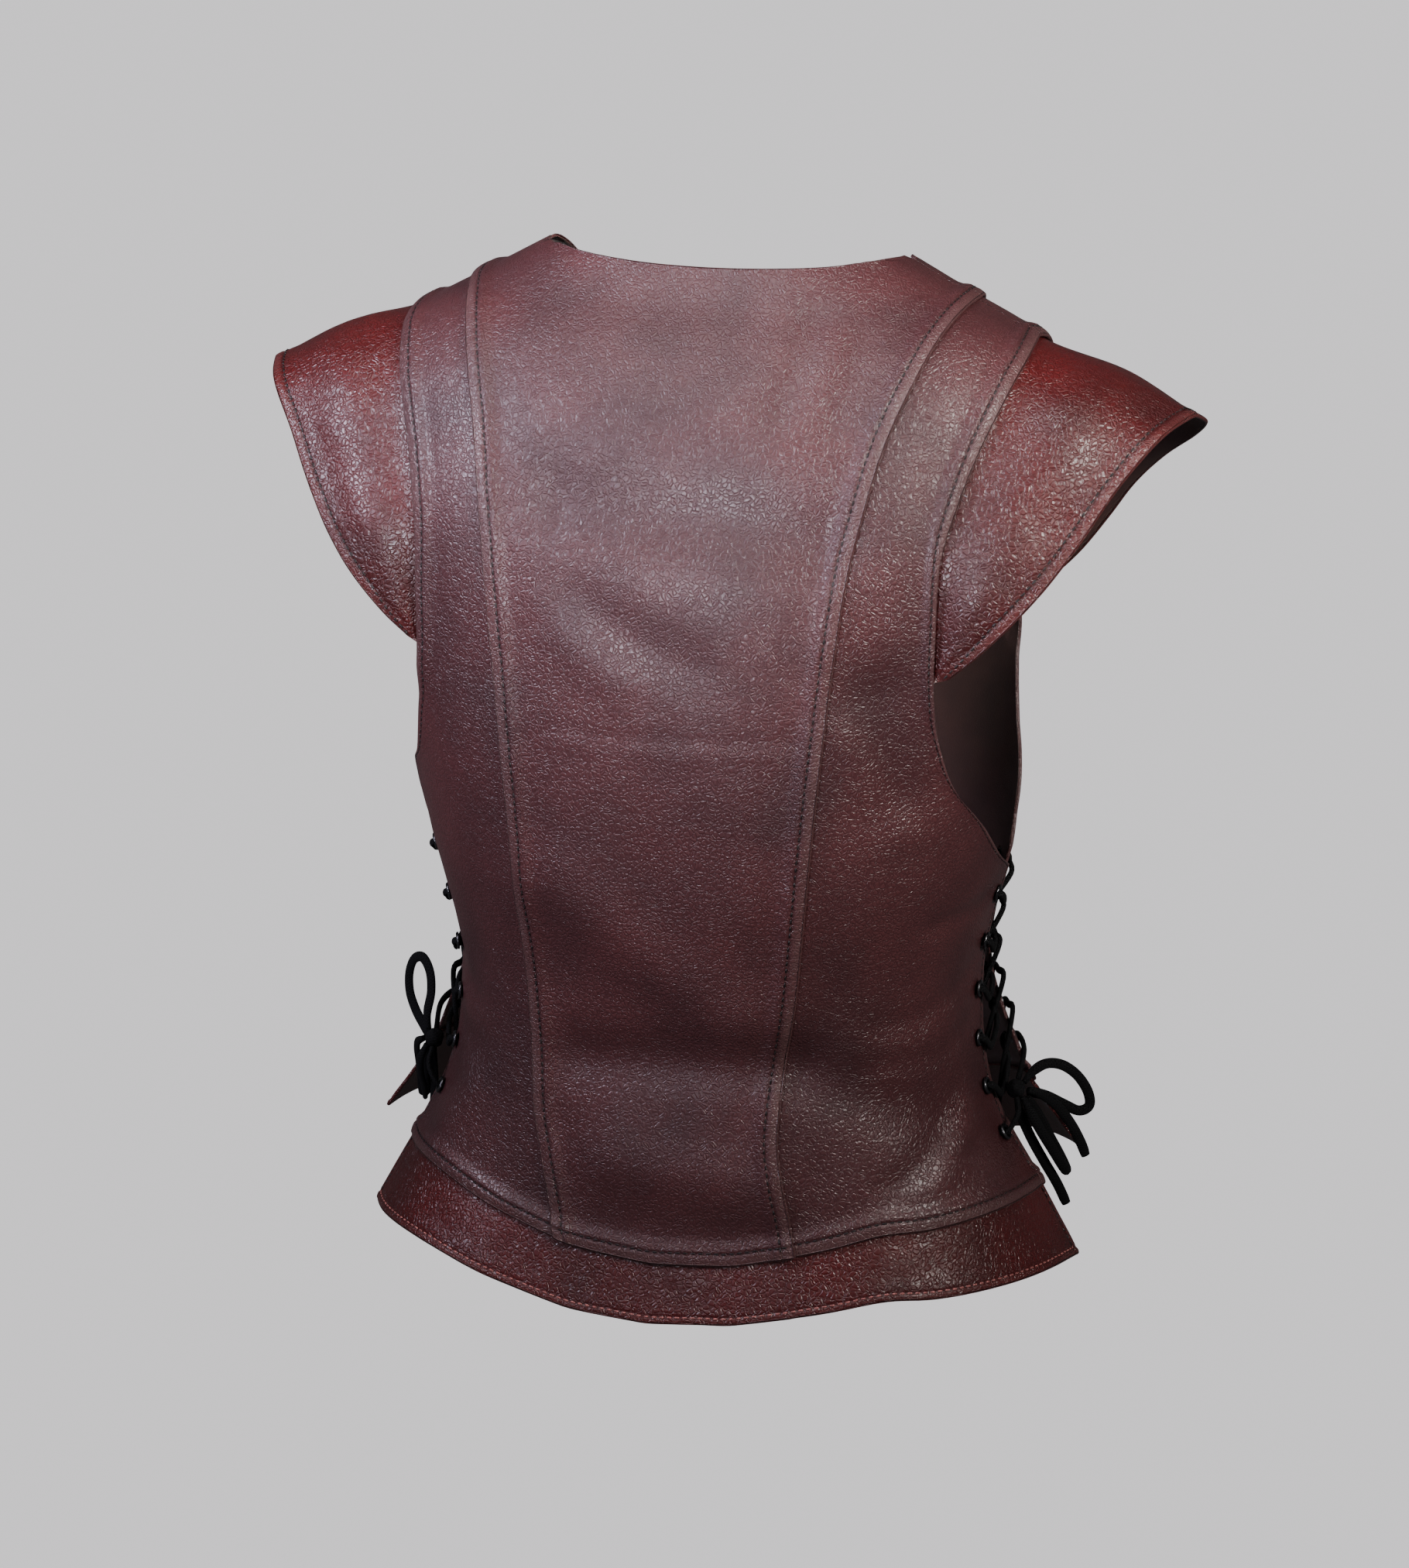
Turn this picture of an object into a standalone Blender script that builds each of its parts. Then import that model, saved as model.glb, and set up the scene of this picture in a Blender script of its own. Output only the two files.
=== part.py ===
"""Sleeveless laced leather doublet, standing in its worn form (metres, +Z up).

The origin is the middle of the neck base at shoulder height.  The front faces
-Y and the wearer's left is +X.  Each panel is cut along its real seams: the
seam lines are smooth curves laid on the worn form, the panel between them is a
grid on that form, and the grid is given its leather's thickness.  A panel's
turned edge rises and laps over the panel beside it, as it is sewn.
"""

import math
from collections import namedtuple

import bmesh
import bpy
import numpy as np

LEFT, RIGHT = 1, -1
BACK, FRONT = 1, -1
SIDE_NAMES = {LEFT: "left", RIGHT: "right"}
FACE_NAMES = {BACK: "back", FRONT: "front"}

# Leather and seams
LEATHER = 0.0015
SEAM_GAP = 0.0003
LAYER = LEATHER + SEAM_GAP
LAP = 0.007
RAMP = 0.005
TUCKED = 0.85

# Rows and columns of the panel grids
EYELETS_PER_EDGE = 6
UPPER_ROWS = 12
LACED_LENGTH = 0.165
FIRST_EYELET_SHARE = 0.11
CENTRE_COLUMNS = 7
SIDE_COLUMNS = 3
ROW_SAMPLES = 41
HEM_PLACES = 13
SHARP_ANGLE = math.radians(35)

# Side lacing
EYELET_INSET = 0.014
EYELET_BAND = 0.012
HOLE_RADIUS = 0.0031
HOLE_PIN_ENDS = (-0.004, 0.006)
EYELET_SIDES = 8
EYELET_BORE = 0.0023
EYELET_BARREL = 0.0028
EYELET_RIM = 0.0045
EYELET_RIM_TOP = 0.0042
EYELET_LIP = 0.0006
EYELET_BACK = 0.0004
LACE_RADIUS = 0.0016
LACE_ABOVE_HOLE = 0.0043
LACE_BELOW_HOLE = -0.0012
LACE_OUTSIDE = 0.0047
LACE_INSIDE = -0.0026
LACE_OVER_EDGE = 0.0046
LACE_UNDER_EDGE = -0.0028
LACE_OVER = 0.0034
LACE_UNDER = -0.0004
KNOT_RADIUS = 0.0050
KNOT_HEIGHT = 0.0120
LEAD_SHARE = 0.35
LEAD_HEIGHT = 0.0068

# Worn form: half width, depth and lean of the body at each height, for the back
# and for the front.  Between the rows the sizes follow a smooth curve.  The
# lean moves the middle of the form along X.
FORM_POWER = 2.35
SLOPE_STEP = 0.00001
SETTLE_ROUNDS = 14
SETTLE_SHARE = 0.9
Section = namedtuple("Section", "height half_width depth lean")
FORM = {
    BACK: (
        Section(-0.560, 0.185, 0.127, -0.004),
        Section(-0.475, 0.165, 0.108, -0.004),
        Section(-0.420, 0.138, 0.105, -0.003),
        Section(-0.360, 0.132, 0.106, -0.003),
        Section(-0.290, 0.146, 0.118, -0.002),
        Section(-0.200, 0.163, 0.121, 0.000),
        Section(-0.100, 0.174, 0.105, 0.000),
        Section(-0.050, 0.1655, 0.080, 0.000),
        Section(-0.0365, 0.1535, 0.070, 0.000),
        Section(-0.020, 0.1245, 0.056, 0.000),
        Section(0.000, 0.088, 0.043, 0.000),
    ),
    FRONT: (
        Section(-0.560, 0.202, 0.140, -0.004),
        Section(-0.475, 0.178, 0.124, -0.004),
        Section(-0.420, 0.154, 0.110, -0.003),
        Section(-0.360, 0.135, 0.102, -0.003),
        Section(-0.290, 0.146, 0.110, -0.002),
        Section(-0.200, 0.163, 0.117, 0.000),
        Section(-0.100, 0.174, 0.101, 0.000),
        Section(-0.050, 0.1655, 0.075, 0.000),
        Section(-0.0365, 0.1535, 0.064, 0.000),
        Section(-0.020, 0.1245, 0.049, 0.000),
        Section(0.000, 0.088, 0.035, 0.000),
    ),
}

# Seam lines as places near the form, from the hem up.  x is for the wearer's
# left and is mirrored for the right.
Place = namedtuple("Place", "x y z")

# The princess seams lean a little to the wearer's right at the hem.
Princess = namedtuple("Princess", "height left right")
PRINCESS = {
    BACK: (
        Princess(-0.460, 0.057, 0.065),
        Princess(-0.437, 0.062, 0.060),
        Princess(-0.412, 0.066, 0.058),
        Princess(-0.350, 0.069, 0.065),
        Princess(-0.272, 0.074, 0.074),
        Princess(-0.205, 0.080, 0.081),
        Princess(-0.148, 0.087, 0.087),
        Princess(-0.116, 0.092, 0.092),
        Princess(-0.077, 0.100, 0.100),
        Princess(-0.045, 0.111, 0.111),
        Princess(-0.029, 0.118, 0.118),
    ),
    FRONT: (
        Princess(-0.412, 0.062, 0.062),
        Princess(-0.350, 0.067, 0.067),
        Princess(-0.272, 0.076, 0.076),
        Princess(-0.205, 0.083, 0.083),
        Princess(-0.148, 0.089, 0.089),
        Princess(-0.116, 0.094, 0.094),
        Princess(-0.077, 0.102, 0.102),
        Princess(-0.045, 0.112, 0.112),
        Princess(-0.029, 0.119, 0.119),
    ),
}
PRINCESS_HEM = {BACK: {LEFT: 0.052, RIGHT: 0.069}, FRONT: {LEFT: 0.060, RIGHT: 0.060}}
SHOULDER_MIDDLE = Place(0.1395, 0.0, -0.0285)
NECK_SIDE = Place(0.106, 0.0, -0.0085)
PRINCESS_TOP = Place(0.1245, 0.0, -0.0200)
PRINCESS_UNDERARM_HEIGHT = -0.300
ARMHOLE_TOP = Place(0.1535, 0.0, -0.0365)
ARMHOLE = {
    BACK: (
        Place(0.136, 0.069, -0.246),
        Place(0.1295, 0.081, -0.219),
        Place(0.1270, 0.086, -0.196),
        Place(0.1268, 0.087, -0.165),
        Place(0.1280, 0.085, -0.130),
        Place(0.1330, 0.077, -0.105),
        Place(0.1405, 0.063, -0.078),
        Place(0.1480, 0.046, -0.057),
        Place(0.1525, 0.024, -0.0430),
    ),
    FRONT: (
        Place(0.138, -0.066, -0.246),
        Place(0.1330, -0.075, -0.219),
        Place(0.1315, -0.079, -0.196),
        Place(0.1315, -0.080, -0.165),
        Place(0.1325, -0.078, -0.130),
        Place(0.1375, -0.070, -0.105),
        Place(0.144, -0.057, -0.078),
        Place(0.1505, -0.040, -0.057),
        Place(0.1535, -0.022, -0.0435),
    ),
}

# The two side openings: the back lies turned towards the wearer's right, so
# the edges stand further back on the left than on the right.
Opening = namedtuple("Opening", "back_y front_y underarm_height")
OPENINGS = {
    LEFT: Opening(0.034, 0.000, -0.294),
    RIGHT: Opening(-0.008, -0.041, -0.306),
}
OPENING_GUESS_X = 0.160
Underarm = namedtuple("Underarm", "share rise")
UNDERARM = (Underarm(0.12, 0.004), Underarm(0.40, 0.014), Underarm(0.74, 0.032))

# Hem seam heights from the centre out, by distance from the centre
HemPlace = namedtuple("HemPlace", "x height")
HEM_CORNER_X = 0.155
HEM_LINE_XS = (0.085, 0.108, 0.126)
HEM_ROUNDING = 0.004
HEM_SEAM = {
    BACK: (
        HemPlace(0.000, -0.488),
        HemPlace(0.040, -0.485),
        HemPlace(0.080, -0.476),
        HemPlace(0.115, -0.467),
    ),
    FRONT: (
        HemPlace(0.000, -0.489),
        HemPlace(0.020, -0.488),
        HemPlace(0.045, -0.483),
        HemPlace(0.080, -0.470),
        HemPlace(0.115, -0.452),
    ),
}
HEM_CORNER_HEIGHT = {BACK: {LEFT: -0.462, RIGHT: -0.4745}, FRONT: {LEFT: -0.426, RIGHT: -0.426}}
NECK_HALF_WIDTH = 0.088
NECKLINE = {
    BACK: (Place(0.088, 0.0, -0.002), Place(0.070, 0.027, -0.0035), Place(0.040, 0.040, -0.0045)),
    FRONT: (Place(0.088, 0.0, -0.002), Place(0.078, -0.048, -0.035), Place(0.046, -0.083, -0.070)),
}
NECK_CENTRE = {BACK: Place(0.0, 0.044, -0.005), FRONT: Place(0.0, -0.097, -0.088)}

# Shoulder wings: the outer edge from the point at the armhole to the shoulder
WING_TIP_HEIGHT = -0.187
WING_CLEAR = 0.0015
LIFT_BELOW_WING = 0.03
WING_EDGE = {
    BACK: (
        Place(0.1320, 0.0860, -0.1865),
        Place(0.1470, 0.0870, -0.1735),
        Place(0.1635, 0.0845, -0.1565),
        Place(0.1780, 0.0775, -0.1390),
        Place(0.1920, 0.0668, -0.1180),
        Place(0.2060, 0.0535, -0.0945),
        Place(0.2215, 0.0360, -0.0745),
        Place(0.2315, 0.0090, -0.0685),
        Place(0.2335, -0.0050, -0.0710),
    ),
    FRONT: (
        Place(0.1335, -0.0805, -0.1865),
        Place(0.1470, -0.0820, -0.1745),
        Place(0.1630, -0.0790, -0.1580),
        Place(0.1780, -0.0740, -0.1380),
        Place(0.1920, -0.0665, -0.1180),
        Place(0.2080, -0.0555, -0.1010),
        Place(0.2250, -0.0400, -0.0870),
        Place(0.2340, -0.0200, -0.0765),
        Place(0.2335, -0.0050, -0.0710),
    ),
}
WING_SPREAD = (0.12, 0.35, 0.65, 1.0)
WING_BULGE = 0.004
WING_FULL_WIDTH = 0.05

# Hem bands: drop and flare below the hem seam, at the centre and at the ends
BAND_DROP = {BACK: (0.028, 0.036), FRONT: (0.028, 0.037)}
BAND_FLARE = {BACK: (0.009, 0.020), FRONT: (0.010, 0.026)}
BAND_STEPS = (0.5, 1.0)

# Largest folds of the worn leather, as soft troughs (height below 0) and ridges.
# They fade towards the shoulder seam and the sides.
FOLD_FADE = 0.03
Fold = namedtuple("Fold", "face x0 z0 x1 z1 width height")
FOLDS = (
    Fold(BACK, 0.050, -0.108, -0.076, -0.118, 0.020, -0.0045),
    Fold(BACK, 0.050, -0.295, -0.040, -0.362, 0.020, 0.0030),
    Fold(BACK, 0.040, -0.388, -0.062, -0.380, 0.016, -0.0045),
    Fold(BACK, -0.070, -0.388, -0.124, -0.412, 0.016, -0.0040),
    Fold(BACK, 0.020, -0.440, -0.045, -0.446, 0.020, 0.0040),
    Fold(BACK, -0.106, -0.195, -0.112, -0.242, 0.018, -0.0040),
    Fold(FRONT, -0.050, -0.372, 0.060, -0.380, 0.018, -0.0040),
    Fold(FRONT, 0.085, -0.352, 0.120, -0.372, 0.016, -0.0035),
    Fold(FRONT, -0.085, -0.356, -0.120, -0.370, 0.016, -0.0035),
)

# Bows: each cord's route from the knot, as outward, forward and up
BowPoint = namedtuple("BowPoint", "out forward up")
BOWS = {
    RIGHT: {
        "loop_high": (
            BowPoint(0.0030, 0.0048, 0.0020), BowPoint(0.0064, 0.0095, 0.0066),
            BowPoint(0.0120, 0.0150, 0.0095), BowPoint(0.0190, 0.0210, 0.0075),
            BowPoint(0.0260, 0.0260, 0.0010), BowPoint(0.0310, 0.0300, -0.0085),
            BowPoint(0.0320, 0.0310, -0.0165), BowPoint(0.0275, 0.0270, -0.0185),
            BowPoint(0.0205, 0.0210, -0.0135), BowPoint(0.0125, 0.0135, -0.0070),
            BowPoint(0.0050, 0.0058, -0.0030),
        ),
        "loop_low": (
            BowPoint(0.0038, -0.0017, -0.0036), BowPoint(0.0080, -0.0010, -0.0115),
            BowPoint(0.0130, 0.0020, -0.0220), BowPoint(0.0185, 0.0075, -0.0340),
            BowPoint(0.0230, 0.0130, -0.0445), BowPoint(0.0238, 0.0175, -0.0475),
            BowPoint(0.0205, 0.0180, -0.0410), BowPoint(0.0150, 0.0145, -0.0290),
            BowPoint(0.0100, 0.0095, -0.0165), BowPoint(0.0048, 0.0030, -0.0055),
        ),
        "tail_short": (
            BowPoint(0.0056, 0.0022, -0.0010), BowPoint(0.0120, 0.0075, -0.0045),
            BowPoint(0.0190, 0.0135, -0.0125), BowPoint(0.0250, 0.0190, -0.0230),
            BowPoint(0.0295, 0.0235, -0.0340), BowPoint(0.0320, 0.0260, -0.0420),
        ),
        "tail_long": (
            BowPoint(0.0006, 0.0000, -0.0053), BowPoint(0.0026, 0.0015, -0.0145),
            BowPoint(0.0075, 0.0055, -0.0280), BowPoint(0.0135, 0.0110, -0.0420),
            BowPoint(0.0195, 0.0160, -0.0550), BowPoint(0.0240, 0.0200, -0.0670),
        ),
    },
    LEFT: {
        "loop_high": (
            BowPoint(0.0045, 0.0030, 0.0030), BowPoint(0.0060, 0.0055, 0.0110),
            BowPoint(0.0045, 0.0075, 0.0220), BowPoint(0.0060, 0.0100, 0.0320),
            BowPoint(0.0110, 0.0135, 0.0380), BowPoint(0.0170, 0.0170, 0.0355),
            BowPoint(0.0205, 0.0190, 0.0270), BowPoint(0.0200, 0.0180, 0.0170),
            BowPoint(0.0155, 0.0140, 0.0090), BowPoint(0.0100, 0.0095, 0.0035),
            BowPoint(0.0045, 0.0040, -0.0005),
        ),
        "loop_low": (
            BowPoint(0.0038, -0.0017, -0.0036), BowPoint(0.0074, -0.0014, -0.0115),
            BowPoint(0.0095, 0.0040, -0.0210), BowPoint(0.0105, 0.0115, -0.0310),
            BowPoint(0.0120, 0.0175, -0.0385), BowPoint(0.0125, 0.0210, -0.0390),
            BowPoint(0.0120, 0.0200, -0.0315), BowPoint(0.0105, 0.0155, -0.0220),
            BowPoint(0.0085, 0.0100, -0.0130), BowPoint(0.0048, 0.0030, -0.0055),
        ),
        "tail_short": (
            BowPoint(0.0062, 0.0010, -0.0012), BowPoint(0.0115, 0.0060, -0.0055),
            BowPoint(0.0145, 0.0130, -0.0130), BowPoint(0.0160, 0.0200, -0.0230),
            BowPoint(0.0170, 0.0255, -0.0340), BowPoint(0.0180, 0.0290, -0.0430),
        ),
        "tail_long": (
            BowPoint(0.0006, 0.0000, -0.0053), BowPoint(0.0016, 0.0025, -0.0145),
            BowPoint(0.0030, 0.0075, -0.0270), BowPoint(0.0055, 0.0125, -0.0410),
            BowPoint(0.0085, 0.0165, -0.0550), BowPoint(0.0105, 0.0185, -0.0660),
        ),
    },
}

# Finishes: colour in linear light, roughness and metallic value
Finish = namedtuple("Finish", "colour roughness metallic")
MAROON_LEATHER = Finish((0.110, 0.040, 0.042), 0.42, 0.0)
RED_LEATHER = Finish((0.190, 0.020, 0.018), 0.30, 0.0)
GUNMETAL = Finish((0.060, 0.060, 0.062), 0.35, 1.0)
BLACK_CORD = Finish((0.008, 0.008, 0.009), 0.80, 0.0)


def clear_scene():
    """Removes every object, so that the scene holds only the doublet."""
    for thing in list(bpy.data.objects):
        bpy.data.objects.remove(thing, do_unlink=True)


def make_material(name, finish):
    """Makes a Principled material from a finish."""
    material = bpy.data.materials.new(name)
    material.use_nodes = True
    shader = material.node_tree.nodes["Principled BSDF"]
    shader.inputs["Base Color"].default_value = (*finish.colour, 1.0)
    shader.inputs["Roughness"].default_value = finish.roughness
    shader.inputs["Metallic"].default_value = finish.metallic
    return material


# The worn form

def form_size(face, heights, column):
    """Reads one column of the form's table at the given heights, on a smooth curve."""
    table = np.array(FORM[face])
    knots, values = table[:, 0], table[:, column]
    slopes = np.gradient(values, knots)
    z = np.clip(heights, knots[0], knots[-1])
    low = np.clip(np.searchsorted(knots, z) - 1, 0, len(knots) - 2)
    step = knots[low + 1] - knots[low]
    t = (z - knots[low]) / step
    rise = t * t * (3.0 - 2.0 * t)
    return (
        values[low] * (1.0 - rise)
        + values[low + 1] * rise
        + slopes[low] * step * t * (1.0 - t) ** 2
        - slopes[low + 1] * step * t * t * (1.0 - t)
    )


def form_level(face, points):
    """Is 0 on the form, below 0 inside it: a superellipse section at each height."""
    from_middle = points[..., 0] - form_size(face, points[..., 2], 3)
    across = np.abs(from_middle / form_size(face, points[..., 2], 1)) ** FORM_POWER
    along = np.abs(points[..., 1] / form_size(face, points[..., 2], 2)) ** FORM_POWER
    return (across + along) ** (1.0 / FORM_POWER) - 1.0


def form_slope(face, points):
    """Gives the gradient of form_level, by small differences."""
    slope = np.zeros_like(points)
    for axis in range(3):
        shift = np.zeros(3)
        shift[axis] = SLOPE_STEP
        ahead, behind = form_level(face, points + shift), form_level(face, points - shift)
        slope[..., axis] = (ahead - behind) / (2.0 * SLOPE_STEP)
    return slope


def settle(face, points):
    """Moves points straight onto the form."""
    points = np.array(points, float)
    for _ in range(SETTLE_ROUNDS):
        slope = form_slope(face, points)
        size = np.sum(slope * slope, axis=-1, keepdims=True)
        points -= SETTLE_SHARE * form_level(face, points)[..., None] * slope / size
    return points


def outward(face, points):
    """Gives the form's outward directions at the points."""
    slope = form_slope(face, points)
    return slope / np.linalg.norm(slope, axis=-1, keepdims=True)


def fold_heights(face, points):
    """Sums the folds' heights at the points of one face."""
    total = np.zeros(points.shape[:-1])
    for fold in FOLDS:
        if fold.face != face:
            continue
        start = np.array((fold.x0, fold.z0))
        run = np.array((fold.x1, fold.z1)) - start
        place = points[..., [0, 2]] - start
        share = np.clip(place @ run / (run @ run), 0.0, 1.0)
        distance = np.linalg.norm(place - share[..., None] * run, axis=-1)
        total += fold.height * np.exp(-((distance / fold.width) ** 2))
    return total * np.clip(np.abs(points[..., 1]) / FOLD_FADE, 0.0, 1.0)


# Curves

def smooth_line(points, samples=24):
    """Gives a dense Catmull-Rom curve through points."""
    points = [np.array(p, float) for p in points]
    ends = [2 * points[0] - points[1], *points, 2 * points[-1] - points[-2]]
    line = [points[0]]
    for a, b, c, d in zip(ends, ends[1:], ends[2:], ends[3:]):
        for t in np.linspace(0.0, 1.0, samples + 1)[1:]:
            bend, twist = 2 * a - 5 * b + 4 * c - d, 3 * b - 3 * c + d - a
            line.append(0.5 * (2 * b + (c - a) * t + bend * t**2 + twist * t**3))
    return np.array(line)


def lengths_along(line):
    """Gives the running length at each point of a line."""
    return np.concatenate([[0.0], np.cumsum(np.linalg.norm(np.diff(line, axis=0), axis=1))])


def points_at(line, distances):
    """Reads points of a line at distances from its start."""
    run = lengths_along(line)
    return np.stack([np.interp(distances, run, line[:, axis]) for axis in range(3)], axis=-1)


def sampled(line, shares):
    """Reads points of a line at shares of its length."""
    return points_at(line, np.array(shares) * lengths_along(line)[-1])


# Panel rows, shared by every panel of one face so that seams match

def lower_shares():
    """Row places from the hem to the underarm, as shares: lap, ramp, then one row between eyelets."""
    eyelet_rows = np.linspace(FIRST_EYELET_SHARE, 1.0, EYELETS_PER_EDGE + 1)
    return np.concatenate([[0.0, LAP / LACED_LENGTH, (LAP + RAMP) / LACED_LENGTH], eyelet_rows])


def upper_shares():
    """Row places from just above the underarm to the shoulder, as shares."""
    return np.linspace(0.0, 1.0, UPPER_ROWS + 1)[1:]


def rows_of(lower_line, upper_line):
    """Samples a boundary made of a lower and an upper line at all the rows."""
    return np.concatenate([sampled(lower_line, lower_shares()), sampled(upper_line, upper_shares())])


def surface_point(face, x, z):
    """Gives the point of one face at a given x and height."""
    half_width, depth = form_size(face, z, 1), form_size(face, z, 2)
    from_middle = x - form_size(face, z, 3)
    inner = max(0.0, 1.0 - abs(from_middle / half_width) ** FORM_POWER)
    return np.array((x, face * depth * inner ** (1.0 / FORM_POWER), z))


def hem_height(face, side, x):
    """Gives the hem seam's height at a distance x from the centre."""
    table = HEM_SEAM[face]
    corner = HEM_CORNER_HEIGHT[face][side]
    xs = [row.x for row in table] + [HEM_CORNER_X]
    zs = [row.height for row in table] + [corner]
    return float(np.interp(abs(x), xs, zs))


def edge_y(face, side):
    """Gives the y of a side opening's edge."""
    opening = OPENINGS[side]
    return opening.back_y if face == BACK else opening.front_y


def hem_line(face, side):
    """Hem seam from the princess seam to the side opening's edge."""
    start = PRINCESS_HEM[face][side]
    y_end = edge_y(face, side)
    corner = np.array((OPENING_GUESS_X, y_end, HEM_CORNER_HEIGHT[face][side]))
    places = [surface_point(face, x, hem_height(face, side, x)) for x in (start, *HEM_LINE_XS)]
    near = 0.5 * (places[-1] + corner) + np.array((HEM_ROUNDING, 0.0, 0.0))
    mirror = np.array((side, 1.0, 1.0))
    return settle(face, smooth_line([*places, near, corner]) * mirror)


def princess_lines(face, side):
    """Princess seam: the line below the underarm's height and the line above it."""
    column = "left" if side == LEFT else "right"
    x_hem = PRINCESS_HEM[face][side]
    places = [surface_point(face, x_hem, hem_height(face, side, x_hem))]
    places += [surface_point(face, getattr(row, column), row.height) for row in PRINCESS[face]]
    line = settle(face, smooth_line([*places, PRINCESS_TOP]) * np.array((side, 1.0, 1.0)))
    split = int(np.argmin(np.abs(line[:, 2] - PRINCESS_UNDERARM_HEIGHT)))
    return line[: split + 1], line[split:]


def outer_lines(face, side):
    """A side panel's outer boundary: the opening's edge, then the armhole."""
    y_edge = edge_y(face, side)
    low, hem = OPENINGS[side].underarm_height, HEM_CORNER_HEIGHT[face][side]
    mirror = np.array((side, 1.0, 1.0))
    edge = [(OPENING_GUESS_X, y_edge, hem + share * (low - hem)) for share in np.linspace(0.0, 1.0, 6)]
    reach = ARMHOLE[face][0].y - y_edge
    curve = [(OPENING_GUESS_X, y_edge + reach * step.share, low + step.rise) for step in UNDERARM]
    opening = settle(face, smooth_line(settle(face, np.array(edge) * mirror)))
    over = np.array([*curve, *ARMHOLE[face], ARMHOLE_TOP]) * mirror
    return opening, settle(face, smooth_line([opening[-1], *over]))


def shoulder_line(side):
    """Shoulder seam along the top of the form, from the princess seam to the armhole."""
    line = settle(BACK, smooth_line([PRINCESS_TOP, SHOULDER_MIDDLE, ARMHOLE_TOP]))
    line[:, 1] = 0.0
    return line * np.array((side, 1.0, 1.0))


def neck_top_line(face):
    """Top of a centre panel, left to right: shoulder seam, neckline, shoulder seam."""
    mirror = np.array((-1.0, 1.0, 1.0))
    shoulder = smooth_line([PRINCESS_TOP, NECK_SIDE, NECKLINE[face][0]])
    half_neck = [*NECKLINE[face], NECK_CENTRE[face]]
    neck = smooth_line([*half_neck, *(np.array(p) * mirror for p in half_neck[-2::-1])])
    return np.concatenate([shoulder[:-1], neck, shoulder[-2::-1] * mirror])


# Panel grids: base is the flesh side when the panel lies flat on the form

Grid = namedtuple("Grid", "base normal lift")


def coons_rows(left, right, bottom, top, shares):
    """Blends four boundary lines into dense rows."""
    u = np.linspace(0.0, 1.0, ROW_SAMPLES)[:, None]
    low, high = sampled(bottom, u[:, 0]), sampled(top, u[:, 0])
    rows = []
    for start, end, v in zip(left, right, shares):
        corners = (1 - v) * ((1 - u) * left[0] + u * right[0]) + v * ((1 - u) * left[-1] + u * right[-1])
        rows.append((1 - u) * start + u * end + (1 - v) * low + v * high - corners)
    return rows


def row_shares(line_rows):
    """Gives each row's share of the way from the hem to the top."""
    run = lengths_along(line_rows)
    return run / run[-1]


def columns_on(row, distances_left, inner_count, distances_right, first=None):
    """Places columns on a row: at set distances from both ends and evenly between.

    With first, the inner columns run evenly from that share of the row to its mirror.
    """
    total = lengths_along(row)[-1]
    start, end = distances_left[-1], total - distances_right[-1]
    inner = np.linspace(start, end, inner_count + 2)[1:-1]
    if first is not None:
        inner = np.linspace(first * total, (1.0 - first) * total, inner_count)
    places = [*distances_left, *inner, *(total - np.array(distances_right[::-1]))]
    return points_at(row, places)


def finish_grid(face, base, lift):
    """Adds the folds to a grid on the form and keeps its directions."""
    normal = outward(face, base)
    folded = base + normal * fold_heights(face, base)[..., None]
    folded[-1, :, 1] += face * SEAM_GAP / 2.0
    return Grid(folded, normal, lift)


def hem_lift(row_count):
    """Raises the two lowest rows over the hem band."""
    lift = np.zeros(row_count)
    lift[:2] = LAYER
    return lift


def centre_grid(face):
    """Centre panel between the princess seams; its side edges lap over the side panels."""
    left, right = rows_of(*princess_lines(face, LEFT)), rows_of(*princess_lines(face, RIGHT))
    hem_x = np.linspace(PRINCESS_HEM[face][LEFT], -PRINCESS_HEM[face][RIGHT], HEM_PLACES)
    sides = [LEFT if x > 0 else RIGHT for x in hem_x]
    bottom = smooth_line([surface_point(face, x, hem_height(face, s, x)) for x, s in zip(hem_x, sides)], 4)
    top = settle(face, neck_top_line(face))
    shares = row_shares(left)
    rows = coons_rows(left, right, bottom, top, shares)
    rows[-1] = top
    neck = np.argmax(np.abs(top[:, 0]) < NECK_HALF_WIDTH)
    neck_share = lengths_along(top)[neck] / lengths_along(top)[-1]
    edge = (0.0, LAP, LAP + RAMP)
    grid = []
    for row, share in zip(rows, shares):
        on_form = settle(face, row)
        even = columns_on(on_form, edge, CENTRE_COLUMNS, edge)
        to_neck = columns_on(on_form, edge, CENTRE_COLUMNS, edge, neck_share)
        grid.append(even + (to_neck - even) * share**3)
    base = settle(face, np.array(grid))
    base[:, 0], base[:, -1] = left, right
    lift = np.zeros(base.shape[:2]) + hem_lift(len(base))[:, None]
    lift[:, [0, 1, -2, -1]] += LAYER
    return finish_grid(face, base, lift)


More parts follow.
